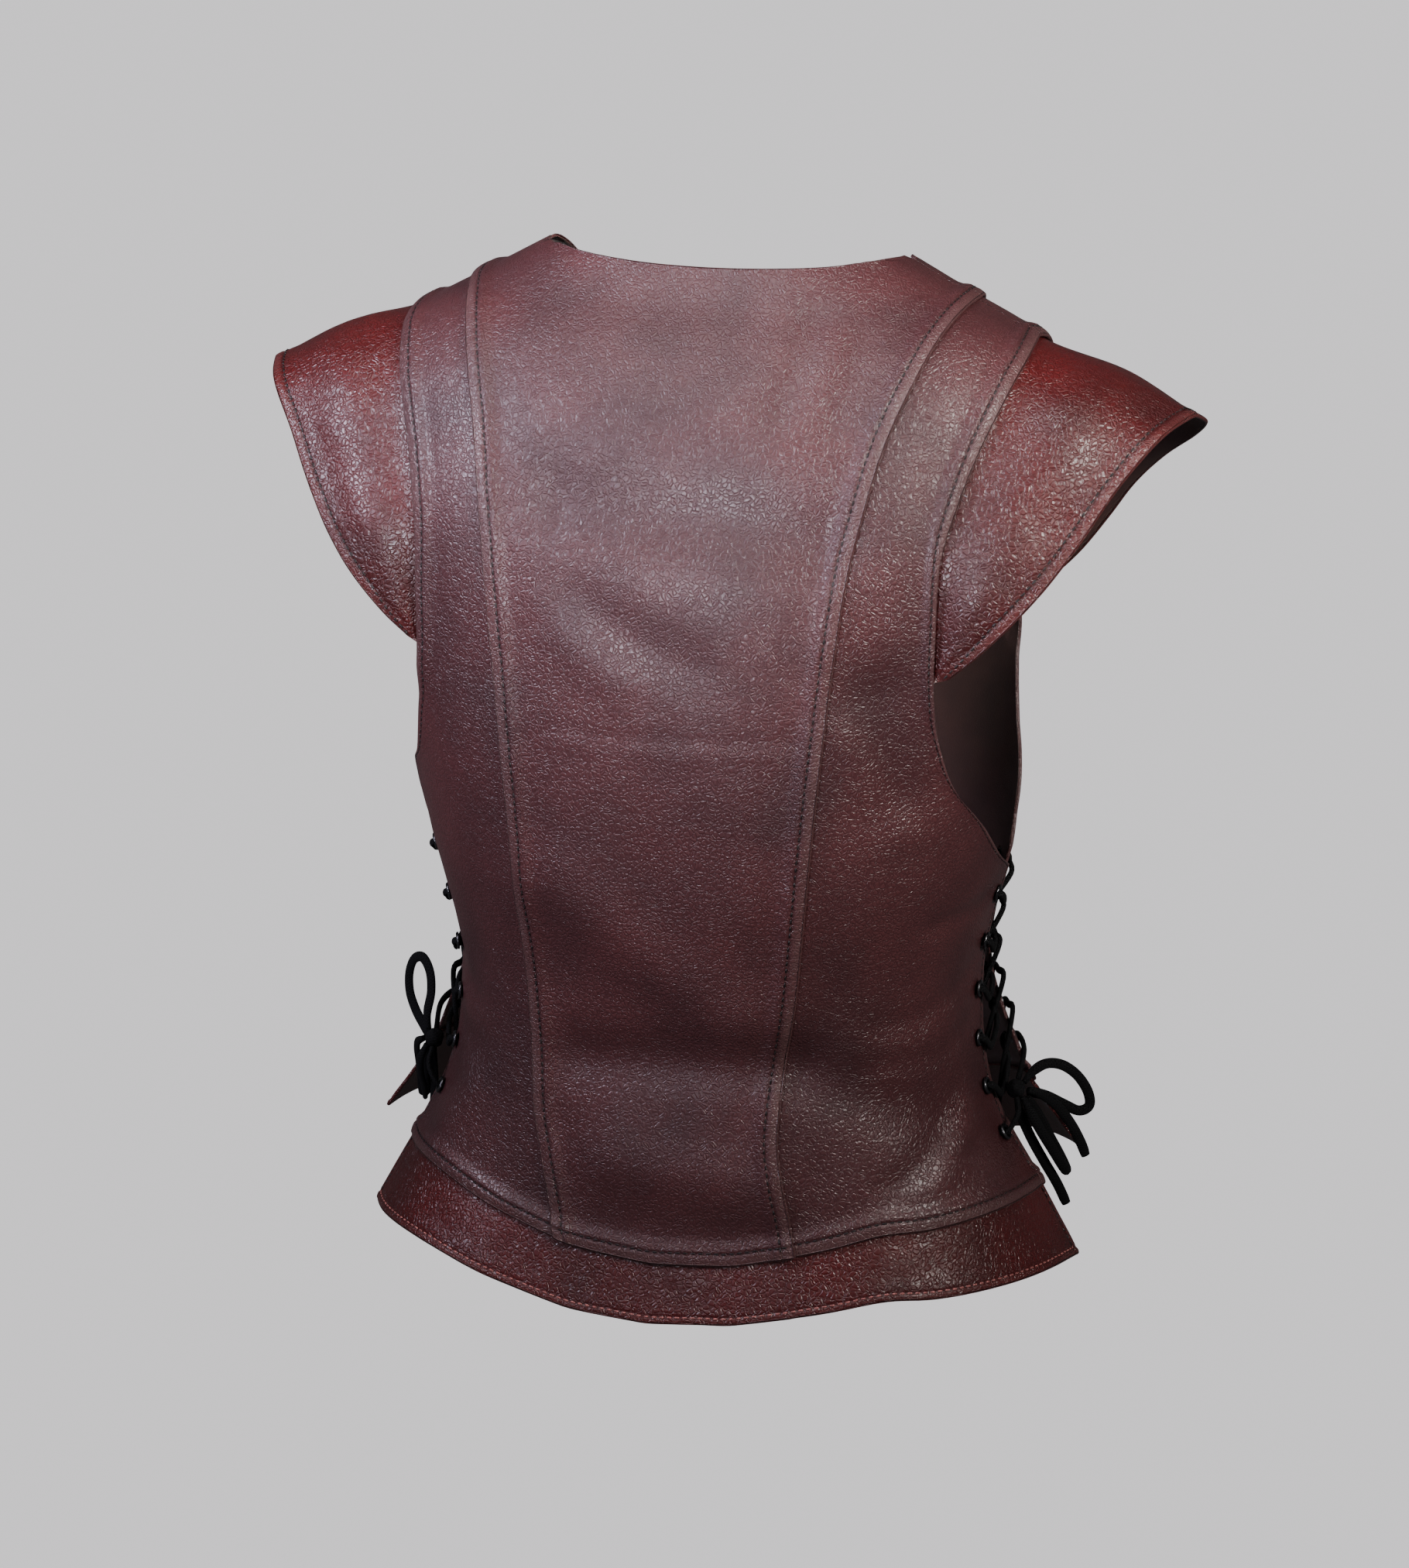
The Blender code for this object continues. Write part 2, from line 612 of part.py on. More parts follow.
def side_grid(face, side, centre):
    """Side panel from under the centre panel's edge to the armhole and the side opening."""
    inner = rows_of(*princess_lines(face, side))
    opening, armhole = outer_lines(face, side)
    outer = rows_of(opening, armhole)
    rows = coons_rows(inner, outer, hem_line(face, side), shoulder_line(side), row_shares(inner))
    low_rows = len(lower_shares())
    grid = []
    for index, row in enumerate(rows):
        on_form = settle(face, row)
        on_form[0], on_form[-1] = inner[index], outer[index]
        if index < low_rows:
            near = (0.0, EYELET_INSET - EYELET_BAND / 2, EYELET_INSET + EYELET_BAND / 2)
        else:
            near = (0.0, LAP, LAP + RAMP)
        grid.append(columns_on(on_form, (0.0,), SIDE_COLUMNS, near))
    base = np.array(grid)
    base[:, 0], base[:, -1] = inner, outer
    edge, lap = (0, 1) if side == LEFT else (-1, -2)
    tucked = centre.base[:, edge] * (1 - TUCKED) + centre.base[:, lap] * TUCKED
    lift = np.zeros((len(base), base.shape[1] + 1)) + hem_lift(len(base))[:, None]
    wing_rows = base[:, -1, 2] > WING_TIP_HEIGHT - LIFT_BELOW_WING
    lift[:, -2:] += (LAYER * wing_rows)[:, None]
    grid = finish_grid(face, base, lift[:, 1:])
    tucked_normal = outward(face, tucked)
    return Grid(
        np.concatenate([tucked[:, None], grid.base], axis=1),
        np.concatenate([tucked_normal[:, None], grid.normal], axis=1),
        lift,
    )


def armhole_rows(face, panel):
    """Reads a side panel's armhole above the wing's point: tucked places, edge places and directions."""
    above = int(np.argmax(panel.base[:, -1, 2] > WING_TIP_HEIGHT))
    low, high = panel.base[above - 1, -1, 2], panel.base[above, -1, 2]
    share = (WING_TIP_HEIGHT - low) / (high - low)
    picked = []
    for values in (panel.base[:, -1], panel.base[:, -2], panel.normal[:, -1]):
        tip = values[above - 1] * (1.0 - share) + values[above] * share
        picked.append(np.concatenate([tip[None], values[above:]]))
    edge, lap, normal = picked
    tucked = edge * (1.0 - TUCKED) + lap * TUCKED
    beyond = (edge - lap) / np.linalg.norm(edge - lap, axis=1, keepdims=True) * WING_CLEAR
    return tucked, edge + beyond, edge + 2.0 * beyond, normal


def wing_grid(side, back, front):
    """Shoulder wing: from under the armhole edges out over the top of the arm."""
    mirror = np.array((side, 1.0, 1.0))
    halves = []
    for face, panel in ((BACK, back), (FRONT, front)):
        tucked, root, beside, normal = armhole_rows(face, panel)
        run = lengths_along(root)
        rim = sampled(smooth_line(WING_EDGE[face]) * mirror, run / run[-1])
        rim[0] = beside[0]
        halves.append([tucked, root, normal, rim])
    tucked, root, root_normal, rim = (np.concatenate([b, f[-2::-1]]) for b, f in zip(*halves))
    across = rim - root
    own = np.cross(np.gradient(root + 0.5 * across, axis=0), across)
    own /= np.linalg.norm(own, axis=1, keepdims=True)
    own *= np.sign(np.sum(own * root_normal, axis=1))[:, None]
    columns, normals = [tucked, root], [root_normal, root_normal]
    size = np.clip(np.linalg.norm(across, axis=1) / WING_FULL_WIDTH, 0.0, 1.0)
    for share in WING_SPREAD:
        bulge = WING_BULGE * math.sin(math.pi * share) ** 2 * size
        columns.append(root + across * share + own * bulge[:, None])
        turn = min(1.0, share * 2.0)
        blend = root_normal * (1 - turn) + own * turn
        normals.append(blend / np.linalg.norm(blend, axis=1, keepdims=True))
    base, normal = np.stack(columns, axis=1), np.stack(normals, axis=1)
    return Grid(base, normal, np.zeros(base.shape[:2]))


def band_grid(face, left, centre, right):
    """Hem band: from under the body panels' lower edges down and out."""
    base = np.concatenate([left.base[:, :1:-1], centre.base[:, :], right.base[:, 2:]], axis=1)
    normal = np.concatenate([left.normal[:, :1:-1], centre.normal[:, :], right.normal[:, 2:]], axis=1)
    hidden = base[0] * (1 - TUCKED) + base[1] * TUCKED
    run = lengths_along(base[0])
    side_share = np.abs(2.0 * run / run[-1] - 1.0) ** 1.5
    level = normal[0] * np.array((1.0, 1.0, 0.0))
    level /= np.linalg.norm(level, axis=1, keepdims=True)
    drop = BAND_DROP[face][0] + (BAND_DROP[face][1] - BAND_DROP[face][0]) * side_share
    flare = BAND_FLARE[face][0] + (BAND_FLARE[face][1] - BAND_FLARE[face][0]) * side_share
    fall = level * flare[:, None] - np.array((0.0, 0.0, 1.0)) * drop[:, None]
    rows = [hidden, base[0], *(base[0] + fall * share for share in BAND_STEPS)]
    slanted = np.cross(np.gradient(base[0], axis=0), fall)
    slanted /= np.linalg.norm(slanted, axis=1, keepdims=True)
    slanted *= np.sign(np.sum(slanted * level, axis=1))[:, None]
    middle = normal[0] + slanted
    middle /= np.linalg.norm(middle, axis=1, keepdims=True)
    normals = [normal[0], middle, slanted, slanted]
    return Grid(np.array(rows), np.array(normals), np.zeros((len(rows), base.shape[1])))


# Solids

def new_object(name, mesh, material):
    """Links a mesh as an object with its material."""
    mesh.materials.append(material)
    thing = bpy.data.objects.new(name, mesh)
    bpy.context.scene.collection.objects.link(thing)
    return thing


def leather_solid(name, grid, material):
    """Gives a grid its leather's thickness: flesh side, grain side and the cut edges."""
    inner = grid.base + grid.normal * grid.lift[..., None]
    outer = inner + grid.normal * LEATHER
    shape = bmesh.new()
    layers = []
    for layer in (inner, outer):
        layers.append([[shape.verts.new(p) for p in row] for row in layer])
    rows, columns = grid.base.shape[:2]
    one_way = np.linalg.norm(grid.base[1:, 1:] - grid.base[:-1, :-1], axis=-1)
    other_way = np.linalg.norm(grid.base[1:, :-1] - grid.base[:-1, 1:], axis=-1)
    shorter = one_way <= other_way
    for flip, verts in enumerate(layers):
        for i in range(rows - 1):
            for j in range(columns - 1):
                a, b, c, d = verts[i][j], verts[i][j + 1], verts[i + 1][j + 1], verts[i + 1][j]
                split = ((a, b, c), (a, c, d)) if shorter[i, j] else ((a, b, d), (b, c, d))
                for corner in split:
                    shape.faces.new(corner[::-1] if flip else corner)
    rim = [(i, 0) for i in range(rows)] + [(rows - 1, j) for j in range(1, columns)]
    rim += [(i, columns - 1) for i in range(rows - 2, -1, -1)] + [(0, j) for j in range(columns - 2, 0, -1)]
    for (i, j), (k, m) in zip(rim, rim[1:] + rim[:1]):
        a, b, c, d = layers[0][i][j], layers[0][k][m], layers[1][k][m], layers[1][i][j]
        shape.faces.new((a, b, c))
        shape.faces.new((a, c, d))
    bmesh.ops.recalc_face_normals(shape, faces=shape.faces)
    mesh = bpy.data.meshes.new(name)
    shape.to_mesh(mesh)
    shape.free()
    mesh.shade_smooth()
    mesh.set_sharp_from_angle(angle=SHARP_ANGLE)
    return new_object(name, mesh, material)


def frame_at(normal, along):
    """Gives two directions across a normal, the first close to along."""
    first = along - normal * (along @ normal)
    first /= np.linalg.norm(first)
    return first, np.cross(normal, first)


Seat = namedtuple("Seat", "centre normal edge edge_above edge_below edge_normal")


def eyelet_seats(grid):
    """Gives each eyelet's seat on a panel, top first, with the opening's edge beside it."""
    seats = []
    first_row = len(lower_shares()) - EYELETS_PER_EDGE - 1
    for k in reversed(range(EYELETS_PER_EDGE)):
        low, high = first_row + k, first_row + k + 1
        corners = grid.base[low : high + 1, -3:-1].reshape(4, 3)
        normal = np.cross(corners[3] - corners[0], corners[2] - corners[1])
        normal /= np.linalg.norm(normal)
        normal *= np.sign(normal @ grid.normal[low, -2])
        below, above = grid.base[low, -1], grid.base[high, -1]
        edge_normal = grid.normal[low, -1] + grid.normal[high, -1]
        edge_normal /= np.linalg.norm(edge_normal)
        seats.append(Seat(corners.mean(axis=0), normal, 0.5 * (below + above), above, below, edge_normal))
    return seats


def turned_ring(name, profile, centre, normal, along, material):
    """Turns a closed profile of (radius, height) about a normal."""
    first, second = frame_at(normal, along)
    shape = bmesh.new()
    rings = []
    for k in range(EYELET_SIDES):
        angle = 2.0 * math.pi * k / EYELET_SIDES
        spoke = first * math.cos(angle) + second * math.sin(angle)
        rings.append([shape.verts.new(centre + spoke * r + normal * h) for r, h in profile])
    for ring, after in zip(rings, rings[1:] + rings[:1]):
        for m in range(len(profile)):
            n = (m + 1) % len(profile)
            shape.faces.new((ring[m], ring[n], after[n], after[m]))
    bmesh.ops.recalc_face_normals(shape, faces=shape.faces)
    mesh = bpy.data.meshes.new(name)
    shape.to_mesh(mesh)
    shape.free()
    mesh.shade_smooth()
    mesh.set_sharp_from_angle(angle=SHARP_ANGLE)
    return new_object(name, mesh, material)


def cut_holes(panel, seats, name):
    """Cuts the eyelets' holes through a panel with one cutter of separate pins."""
    shape = bmesh.new()
    for seat in seats:
        centre, normal = seat.centre, seat.normal
        first, second = frame_at(normal, seat.edge - centre)
        ends = []
        for height in HOLE_PIN_ENDS:
            ring = []
            for k in range(EYELET_SIDES):
                angle = 2.0 * math.pi * k / EYELET_SIDES
                spoke = first * math.cos(angle) + second * math.sin(angle)
                ring.append(shape.verts.new(centre + spoke * HOLE_RADIUS + normal * height))
            ends.append(ring)
            shape.faces.new(ring)
        for k in range(EYELET_SIDES):
            n = (k + 1) % EYELET_SIDES
            shape.faces.new((ends[0][k], ends[0][n], ends[1][n], ends[1][k]))
    bmesh.ops.recalc_face_normals(shape, faces=shape.faces)
    mesh = bpy.data.meshes.new(name)
    shape.to_mesh(mesh)
    shape.free()
    cutter = bpy.data.objects.new(name, mesh)
    bpy.context.scene.collection.objects.link(cutter)
    cutter.hide_render = True
    cutter.display_type = "WIRE"
    cut = panel.modifiers.new("eyelet holes", "BOOLEAN")
    cut.operation = "DIFFERENCE"
    cut.solver = "EXACT"
    cut.object = cutter


def eyelet_profile():
    """Outline of a rolled eyelet, as (radius, height above the flesh side)."""
    under, over = -EYELET_BACK, LEATHER + SEAM_GAP
    return (
        (EYELET_BORE, under), (EYELET_BARREL, under), (EYELET_BARREL, over), (EYELET_RIM, over),
        (EYELET_RIM_TOP, over + EYELET_LIP), (EYELET_BORE, over + EYELET_LIP),
    )


def cord_object(name, points, material):
    """Makes a round cord along points."""
    curve = bpy.data.curves.new(name, "CURVE")
    curve.dimensions = "3D"
    curve.bevel_depth = LACE_RADIUS
    curve.bevel_resolution = 2
    curve.use_fill_caps = True
    spline = curve.splines.new("POLY")
    spline.points.add(len(points) - 1)
    for point, place in zip(spline.points, points):
        point.co = (*place, 1.0)
    return new_object(name, curve, material)


def lace_crossing(start, end, over):
    """Route from above one eyelet, over its edge, under the other edge, up to the other eyelet's hole."""
    leave = 0.5 * (start.edge + start.edge_below)
    arrive = 0.5 * (end.edge + end.edge_above)
    middle_normal = start.normal + end.normal
    middle_normal /= np.linalg.norm(middle_normal)
    middle = 0.5 * (leave + arrive)
    return [
        start.centre + start.normal * LACE_ABOVE_HOLE,
        start.centre * 0.6 + leave * 0.4 + start.normal * LACE_OUTSIDE,
        leave + start.edge_normal * LACE_OVER_EDGE,
        middle + middle_normal * (LACE_OVER if over else LACE_UNDER),
        arrive * 0.72 + middle * 0.28 + end.edge_normal * LACE_UNDER_EDGE,
        arrive * 0.7 + end.centre * 0.3 + end.edge_normal * LACE_UNDER_EDGE,
        end.centre * 0.8 + arrive * 0.2 + end.normal * LACE_INSIDE,
        end.centre + end.normal * LACE_BELOW_HOLE,
    ]


def lace_route(seats, knot):
    """One lace of a side: from the knot up to the top and down again, crossing at each step."""
    strands = []
    for start_face in (BACK, FRONT):
        face = start_face
        top = seats[face][0]
        route = [
            top.centre * 0.35 + top.edge * 0.65 + top.edge_normal * LACE_UNDER_EDGE,
            top.centre * 0.8 + top.edge * 0.2 + top.normal * LACE_INSIDE,
            top.centre + top.normal * LACE_BELOW_HOLE,
        ]
        for k in range(EYELETS_PER_EDGE - 1):
            over = (k % 2 == 0) == (start_face == BACK)
            route += lace_crossing(seats[face][k], seats[-face][k + 1], over)
            face = -face
        last = seats[face][-1]
        lead = last.centre + (knot - last.centre) * LEAD_SHARE + last.normal * LEAD_HEIGHT
        onward = (knot - lead) / np.linalg.norm(knot - lead)
        route += [
            last.centre + last.normal * LACE_ABOVE_HOLE,
            lead,
            knot - onward * (KNOT_RADIUS + 2 * SEAM_GAP),
        ]
        strands.append(route)
    return np.array(strands[0][::-1] + strands[1])


def knot_solid(name, centre, material):
    """Makes the pulled knot as a small round."""
    bpy.ops.mesh.primitive_uv_sphere_add(segments=12, ring_count=8, radius=KNOT_RADIUS, location=centre)
    knot = bpy.context.object
    knot.name = name
    knot.data.materials.append(material)
    knot.data.shade_smooth()
    return knot


def bow_line(points, knot, side):
    """Places a bow cord's route at its knot and reads it at every two and a half cord widths."""
    placed = [knot + np.array((side * p.out, -p.forward, p.up)) for p in points]
    line = smooth_line(placed)
    total = lengths_along(line)[-1]
    count = max(5, round(total / (2.5 * 2 * LACE_RADIUS)))
    return points_at(line, np.linspace(0.0, total, count + 1))


def build_lacing(side, panels, cord_material):
    """Makes one side's lace, knot, loops and tails."""
    seats = {face: eyelet_seats(panels[face]) for face in (BACK, FRONT)}
    beside = seats[BACK][-2]
    knot = 0.5 * (beside.edge + beside.edge_below) + beside.edge_normal * KNOT_HEIGHT
    label = SIDE_NAMES[side]
    cord_object(f"lace_{label}", lace_route(seats, knot), cord_material)
    knot_solid(f"bow_knot_{label}", knot, cord_material)
    for name, points in BOWS[side].items():
        cord_object(f"bow_{name}_{label}", bow_line(points, knot, side), cord_material)


def main():
    """Builds every piece of the doublet."""
    clear_scene()
    maroon = make_material("maroon leather", MAROON_LEATHER)
    red = make_material("red leather", RED_LEATHER)
    gunmetal = make_material("gunmetal", GUNMETAL)
    black = make_material("black cord", BLACK_CORD)
    centres = {face: centre_grid(face) for face in (BACK, FRONT)}
    pairs = [(face, side) for face in (BACK, FRONT) for side in (LEFT, RIGHT)]
    sides = {(face, side): side_grid(face, side, centres[face]) for face, side in pairs}
    for face in (BACK, FRONT):
        face_name = FACE_NAMES[face]
        leather_solid(f"{face_name}_centre", centres[face], maroon)
        for side in (LEFT, RIGHT):
            label = f"{face_name}_side_{SIDE_NAMES[side]}"
            panel = leather_solid(label, sides[face, side], maroon)
            seats = eyelet_seats(sides[face, side])
            cut_holes(panel, seats, f"holes_{label}")
            for number, seat in enumerate(seats, 1):
                name = f"eyelet_{face_name}_{SIDE_NAMES[side]}_{number}"
                toward_edge = seat.edge - seat.centre
                turned_ring(name, eyelet_profile(), seat.centre, seat.normal, toward_edge, gunmetal)
        band = band_grid(face, sides[face, LEFT], centres[face], sides[face, RIGHT])
        leather_solid(f"hem_band_{face_name}", band, red)
    for side in (LEFT, RIGHT):
        wing = wing_grid(side, sides[BACK, side], sides[FRONT, side])
        leather_solid(f"wing_{SIDE_NAMES[side]}", wing, red)
        build_lacing(side, {face: sides[face, side] for face in (BACK, FRONT)}, black)


main()
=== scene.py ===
"""Sleeveless laced leather doublet: the looks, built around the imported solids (metres, +Z up).

The front faces -Y and the wearer's left is +X.  Every leather piece is a thin shell on the same worn
form and the same seam lines as its solid, on a grid fine enough for its folded edges, its creases and
its puckers.  Stitches, eyelets and laces are placed from those grids.
"""

import logging
import math
from dataclasses import dataclass, field
from enum import Enum
from itertools import product
from typing import Any, Iterable, NamedTuple, Sequence

import bpy
import numpy as np
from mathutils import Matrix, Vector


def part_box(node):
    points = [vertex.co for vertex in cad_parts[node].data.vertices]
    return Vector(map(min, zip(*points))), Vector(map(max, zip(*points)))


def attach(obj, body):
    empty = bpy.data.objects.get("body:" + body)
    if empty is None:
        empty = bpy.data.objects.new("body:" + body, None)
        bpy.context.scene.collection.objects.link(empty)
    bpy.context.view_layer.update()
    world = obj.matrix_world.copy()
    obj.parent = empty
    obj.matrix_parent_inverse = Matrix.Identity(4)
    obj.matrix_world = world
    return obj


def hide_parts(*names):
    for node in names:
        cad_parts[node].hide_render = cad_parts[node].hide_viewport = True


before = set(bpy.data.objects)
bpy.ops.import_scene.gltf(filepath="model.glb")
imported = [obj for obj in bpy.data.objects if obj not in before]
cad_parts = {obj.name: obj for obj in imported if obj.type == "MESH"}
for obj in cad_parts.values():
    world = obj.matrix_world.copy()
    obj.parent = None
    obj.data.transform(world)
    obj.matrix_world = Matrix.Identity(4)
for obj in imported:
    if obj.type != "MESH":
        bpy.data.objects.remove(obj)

Array = np.ndarray
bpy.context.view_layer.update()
LOG = logging.getLogger("doublet")
MM = 0.001


class Side(Enum):
    """The wearer's side, as the sign of X."""

    LEFT = 1
    RIGHT = -1


class Face(Enum):
    """Back or front of the garment, as the sign of Y."""

    BACK = 1
    FRONT = -1


class Edge(Enum):
    """The four edges of a piece's grid: its first and last column and its first and last row."""

    FIRST = "first column"
    LAST = "last column"
    LOW = "first row"
    HIGH = "last row"


class Place(NamedTuple):
    """A point near the worn form, in metres."""

    x: float
    y: float
    z: float


def in_mm(kind: Any, *rows: Sequence[float]) -> tuple:
    """Makes a table of one kind of row from numbers in millimetres."""
    return tuple(kind(*(value * MM for value in row)) for row in rows)


# Leather and seams, as in the solids
LEATHER = 1.5 * MM
LAYER = 1.8 * MM
LAP = 7.0 * MM
RAMP = 5.0 * MM
TUCKED = 6.0 * MM
SEAM_GAP = 0.3 * MM

# Grid places beside an edge, close enough for the fold, the stitch groove and the roll of the leather
EDGE_STEPS = np.array(
    (0.0, 0.4, 0.9, 1.5, 2.2, 3.0, 3.8, 4.6, 5.1, 5.5, 5.9, 6.4, 7.4, 9.0, 11.0, 13.5, 16.5)
) * MM
PLAIN_STEPS = np.array((0.0, 3.0, 6.0)) * MM
GRID_STEP = 3.0 * MM
LACED_LENGTH = 0.165
UPPER_LENGTH = 0.300
FIRST_EYELET_SHARE = 0.11
EYELETS = 6


# Curves and numbers on whole arrays

def smooth_step(low: float, high: float, values: Array) -> Array:
    """Rises from 0 at low to 1 at high as 3t^2 - 2t^3."""
    t = np.clip((values - low) / (high - low), 0.0, 1.0)
    return t * t * (3.0 - 2.0 * t)


def unit(vectors: Array) -> Array:
    """Scales vectors to length 1."""
    return vectors / np.maximum(np.linalg.norm(vectors, axis=-1, keepdims=True), 1e-12)


def mirror_x(side: Side) -> Array:
    """Gives the factors that carry places of the wearer's left to a side."""
    return np.array((side.value, 1.0, 1.0))


def smooth_line(points: Iterable[Sequence[float]], samples: int = 24) -> Array:
    """Gives a dense Catmull-Rom curve: each stretch is the cubic through its two points whose slopes
    there are half the step between the neighbours.

    Args:
        points: the points that the curve passes.
        samples: how many points each stretch gets.
    """
    p = np.array([tuple(q) for q in points], float)
    p = np.concatenate([[2 * p[0] - p[1]], p, [2 * p[-1] - p[-2]]])
    a, b, c, d = (p[k : len(p) - 3 + k, None] for k in range(4))
    t = np.linspace(0.0, 1.0, samples + 1)[1:][None, :, None]
    line = 0.5 * (2 * b + (c - a) * t + (2 * a - 5 * b + 4 * c - d) * t**2 + (3 * b - 3 * c + d - a) * t**3)
    return np.concatenate([p[1:2], line.reshape(-1, 3)])


def lengths_along(line: Array) -> Array:
    """Gives the running length at each point of a line."""
    return np.concatenate([[0.0], np.cumsum(np.linalg.norm(np.diff(line, axis=0), axis=1))])


def read_at(run: Array, values: Array, distances: Array) -> Array:
    """Reads places or directions, known at running lengths, at other distances."""
    return np.stack([np.interp(distances, run, values[:, axis]) for axis in range(3)], axis=-1)


def points_at(line: Array, distances: Array) -> Array:
    """Reads points of a line at distances from its start."""
    return read_at(lengths_along(line), line, distances)


def sampled(line: Array, shares: Array) -> Array:
    """Reads points of a line at shares of its length."""
    return points_at(line, np.asarray(shares) * lengths_along(line)[-1])


def soft_noise(points: Array, cell: float, seed: float) -> Array:
    """Value noise from -1 to 1: pseudo-random numbers at the corners of cubes of side cell, blended
    with 3t^2 - 2t^3 between them.

    Args:
        points: places, in metres.
        cell: side of the cubes, in metres.
        seed: picks another pattern.
    """
    q = points / cell
    low = np.floor(q)
    t = smooth_step(0.0, 1.0, q - low)
    total = np.zeros(points.shape[:-1])
    for corner in product((0, 1), repeat=3):
        wave = np.sin((low + corner) @ np.array((127.1, 311.7, 74.7)) + seed) * 43758.5453
        weight = np.prod(np.where(np.array(corner) == 1, t, 1.0 - t), axis=-1)
        total += weight * (2.0 * (wave - np.floor(wave)) - 1.0)
    return total


# The worn form

# Share of Newton's full step, short of 1 so that a round never overshoots
NEWTON_SHARE = 0.9


class Section(NamedTuple):
    """Half width, depth and lean of the worn form at a height."""

    height: float
    half_width: float
    depth: float
    lean: float


@dataclass(frozen=True)
class WornForm:
    """One face of the worn form: superellipse sections whose sizes follow smooth curves of the height.

    Attributes:
        face: back or front.
        sections: the table of sizes, from the hem up.
        power: the superellipse's power.
    """

    face: Face
    sections: tuple[Section, ...]
    power: float = 2.35

    def size(self, heights: Array, column: int) -> Array:
        """Reads one column of the table at heights, on the cubic whose slopes are the table's."""
        table = np.array(self.sections)
        knots, values = table[:, 0], table[:, column]
        slopes = np.gradient(values, knots)
        z = np.clip(heights, knots[0], knots[-1])
        low = np.clip(np.searchsorted(knots, z) - 1, 0, len(knots) - 2)
        step = knots[low + 1] - knots[low]
        t = (z - knots[low]) / step
        rise = t * t * (3.0 - 2.0 * t)
        ends = values[low] * (1.0 - rise) + values[low + 1] * rise
        return ends + step * t * (1.0 - t) * (slopes[low] * (1.0 - t) - slopes[low + 1] * t)

    def level(self, points: Array) -> Array:
        """Is 0 on the form: the power sum of x over the half width and y over the depth, less 1."""
        z = points[..., 2]
        across = np.abs((points[..., 0] - self.size(z, 3)) / self.size(z, 1)) ** self.power
        along = np.abs(points[..., 1] / self.size(z, 2)) ** self.power
        return (across + along) ** (1.0 / self.power) - 1.0

    def slope(self, points: Array) -> Array:
        """Gives the gradient of the level, by small differences."""
        small = 1e-5
        rises = [self.level(points + shift) - self.level(points - shift) for shift in np.eye(3) * small]
        return np.stack(rises, axis=-1) / (2 * small)

    def settle(self, points: Array, rounds: int = 9) -> Array:
        """Moves points straight onto the form, by rounds of Newton's step."""
        points = np.array(points, float)
        for _ in range(rounds):
            slope = self.slope(points)
            square = np.sum(slope * slope, axis=-1, keepdims=True)
            points -= NEWTON_SHARE * self.level(points)[..., None] * slope / square
        return points

    def outward(self, points: Array) -> Array:
        """Gives the outward directions at points."""
        return unit(self.slope(points))

    def surface_point(self, x: float, z: float) -> Array:
        """Gives the point of this face at a given x and height."""
        inner = max(0.0, 1.0 - abs((x - self.size(z, 3)) / self.size(z, 1)) ** self.power)
        return np.array((x, self.face.value * self.size(z, 2) * inner ** (1.0 / self.power), z))


FORMS = {
    Face.BACK: WornForm(Face.BACK, in_mm(
        Section,
        (-560, 185, 127, -4), (-475, 165, 108, -4), (-420, 138, 105, -3), (-360, 132, 106, -3),
        (-290, 146, 118, -2), (-200, 163, 121, 0), (-100, 174, 105, 0), (-50, 165.5, 80, 0),
        (-36.5, 153.5, 70, 0), (-20, 124.5, 56, 0), (0, 88, 43, 0),
    )),
    Face.FRONT: WornForm(Face.FRONT, in_mm(
        Section,
        (-560, 202, 140, -4), (-475, 178, 124, -4), (-420, 154, 110, -3), (-360, 135, 102, -3),
        (-290, 146, 110, -2), (-200, 163, 117, 0), (-100, 174, 101, 0), (-50, 165.5, 75, 0),
        (-36.5, 153.5, 64, 0), (-20, 124.5, 49, 0), (0, 88, 35, 0),
    )),
}


# Creases of the worn leather

@dataclass(frozen=True)
class Crease:
    """A soft trough (height below 0) or ridge along a line of places near the leather.

    Attributes:
        line: the places it passes.
        width: distance at which it has mostly faded, in metres.
        height: its height, in metres.
    """

    line: tuple[tuple[float, float, float], ...]
    width: float
    height: float

    def heights(self, form: WornForm, points: Array) -> Array:
        """Gives the height times exp(-(d / width)^2), with d the distance from the line on the form."""
        nearest = np.full(points.shape[:-1], 1.0)
        laid = form.settle(smooth_line(self.line, 5), 5)
        for start, end in zip(laid, laid[1:]):
            run = end - start
            share = np.clip((points - start) @ run / (run @ run), 0.0, 1.0)
            nearest = np.minimum(nearest, np.linalg.norm(points - start - share[..., None] * run, axis=-1))
        return self.height * np.exp(-((nearest / self.width) ** 2))


def creases(*rows: tuple) -> tuple[Crease, ...]:
    """Makes creases from rows in millimetres: the width, the height and the places passed."""
    return tuple(Crease(in_mm(Place, *places), width * MM, height * MM) for width, height, *places in rows)


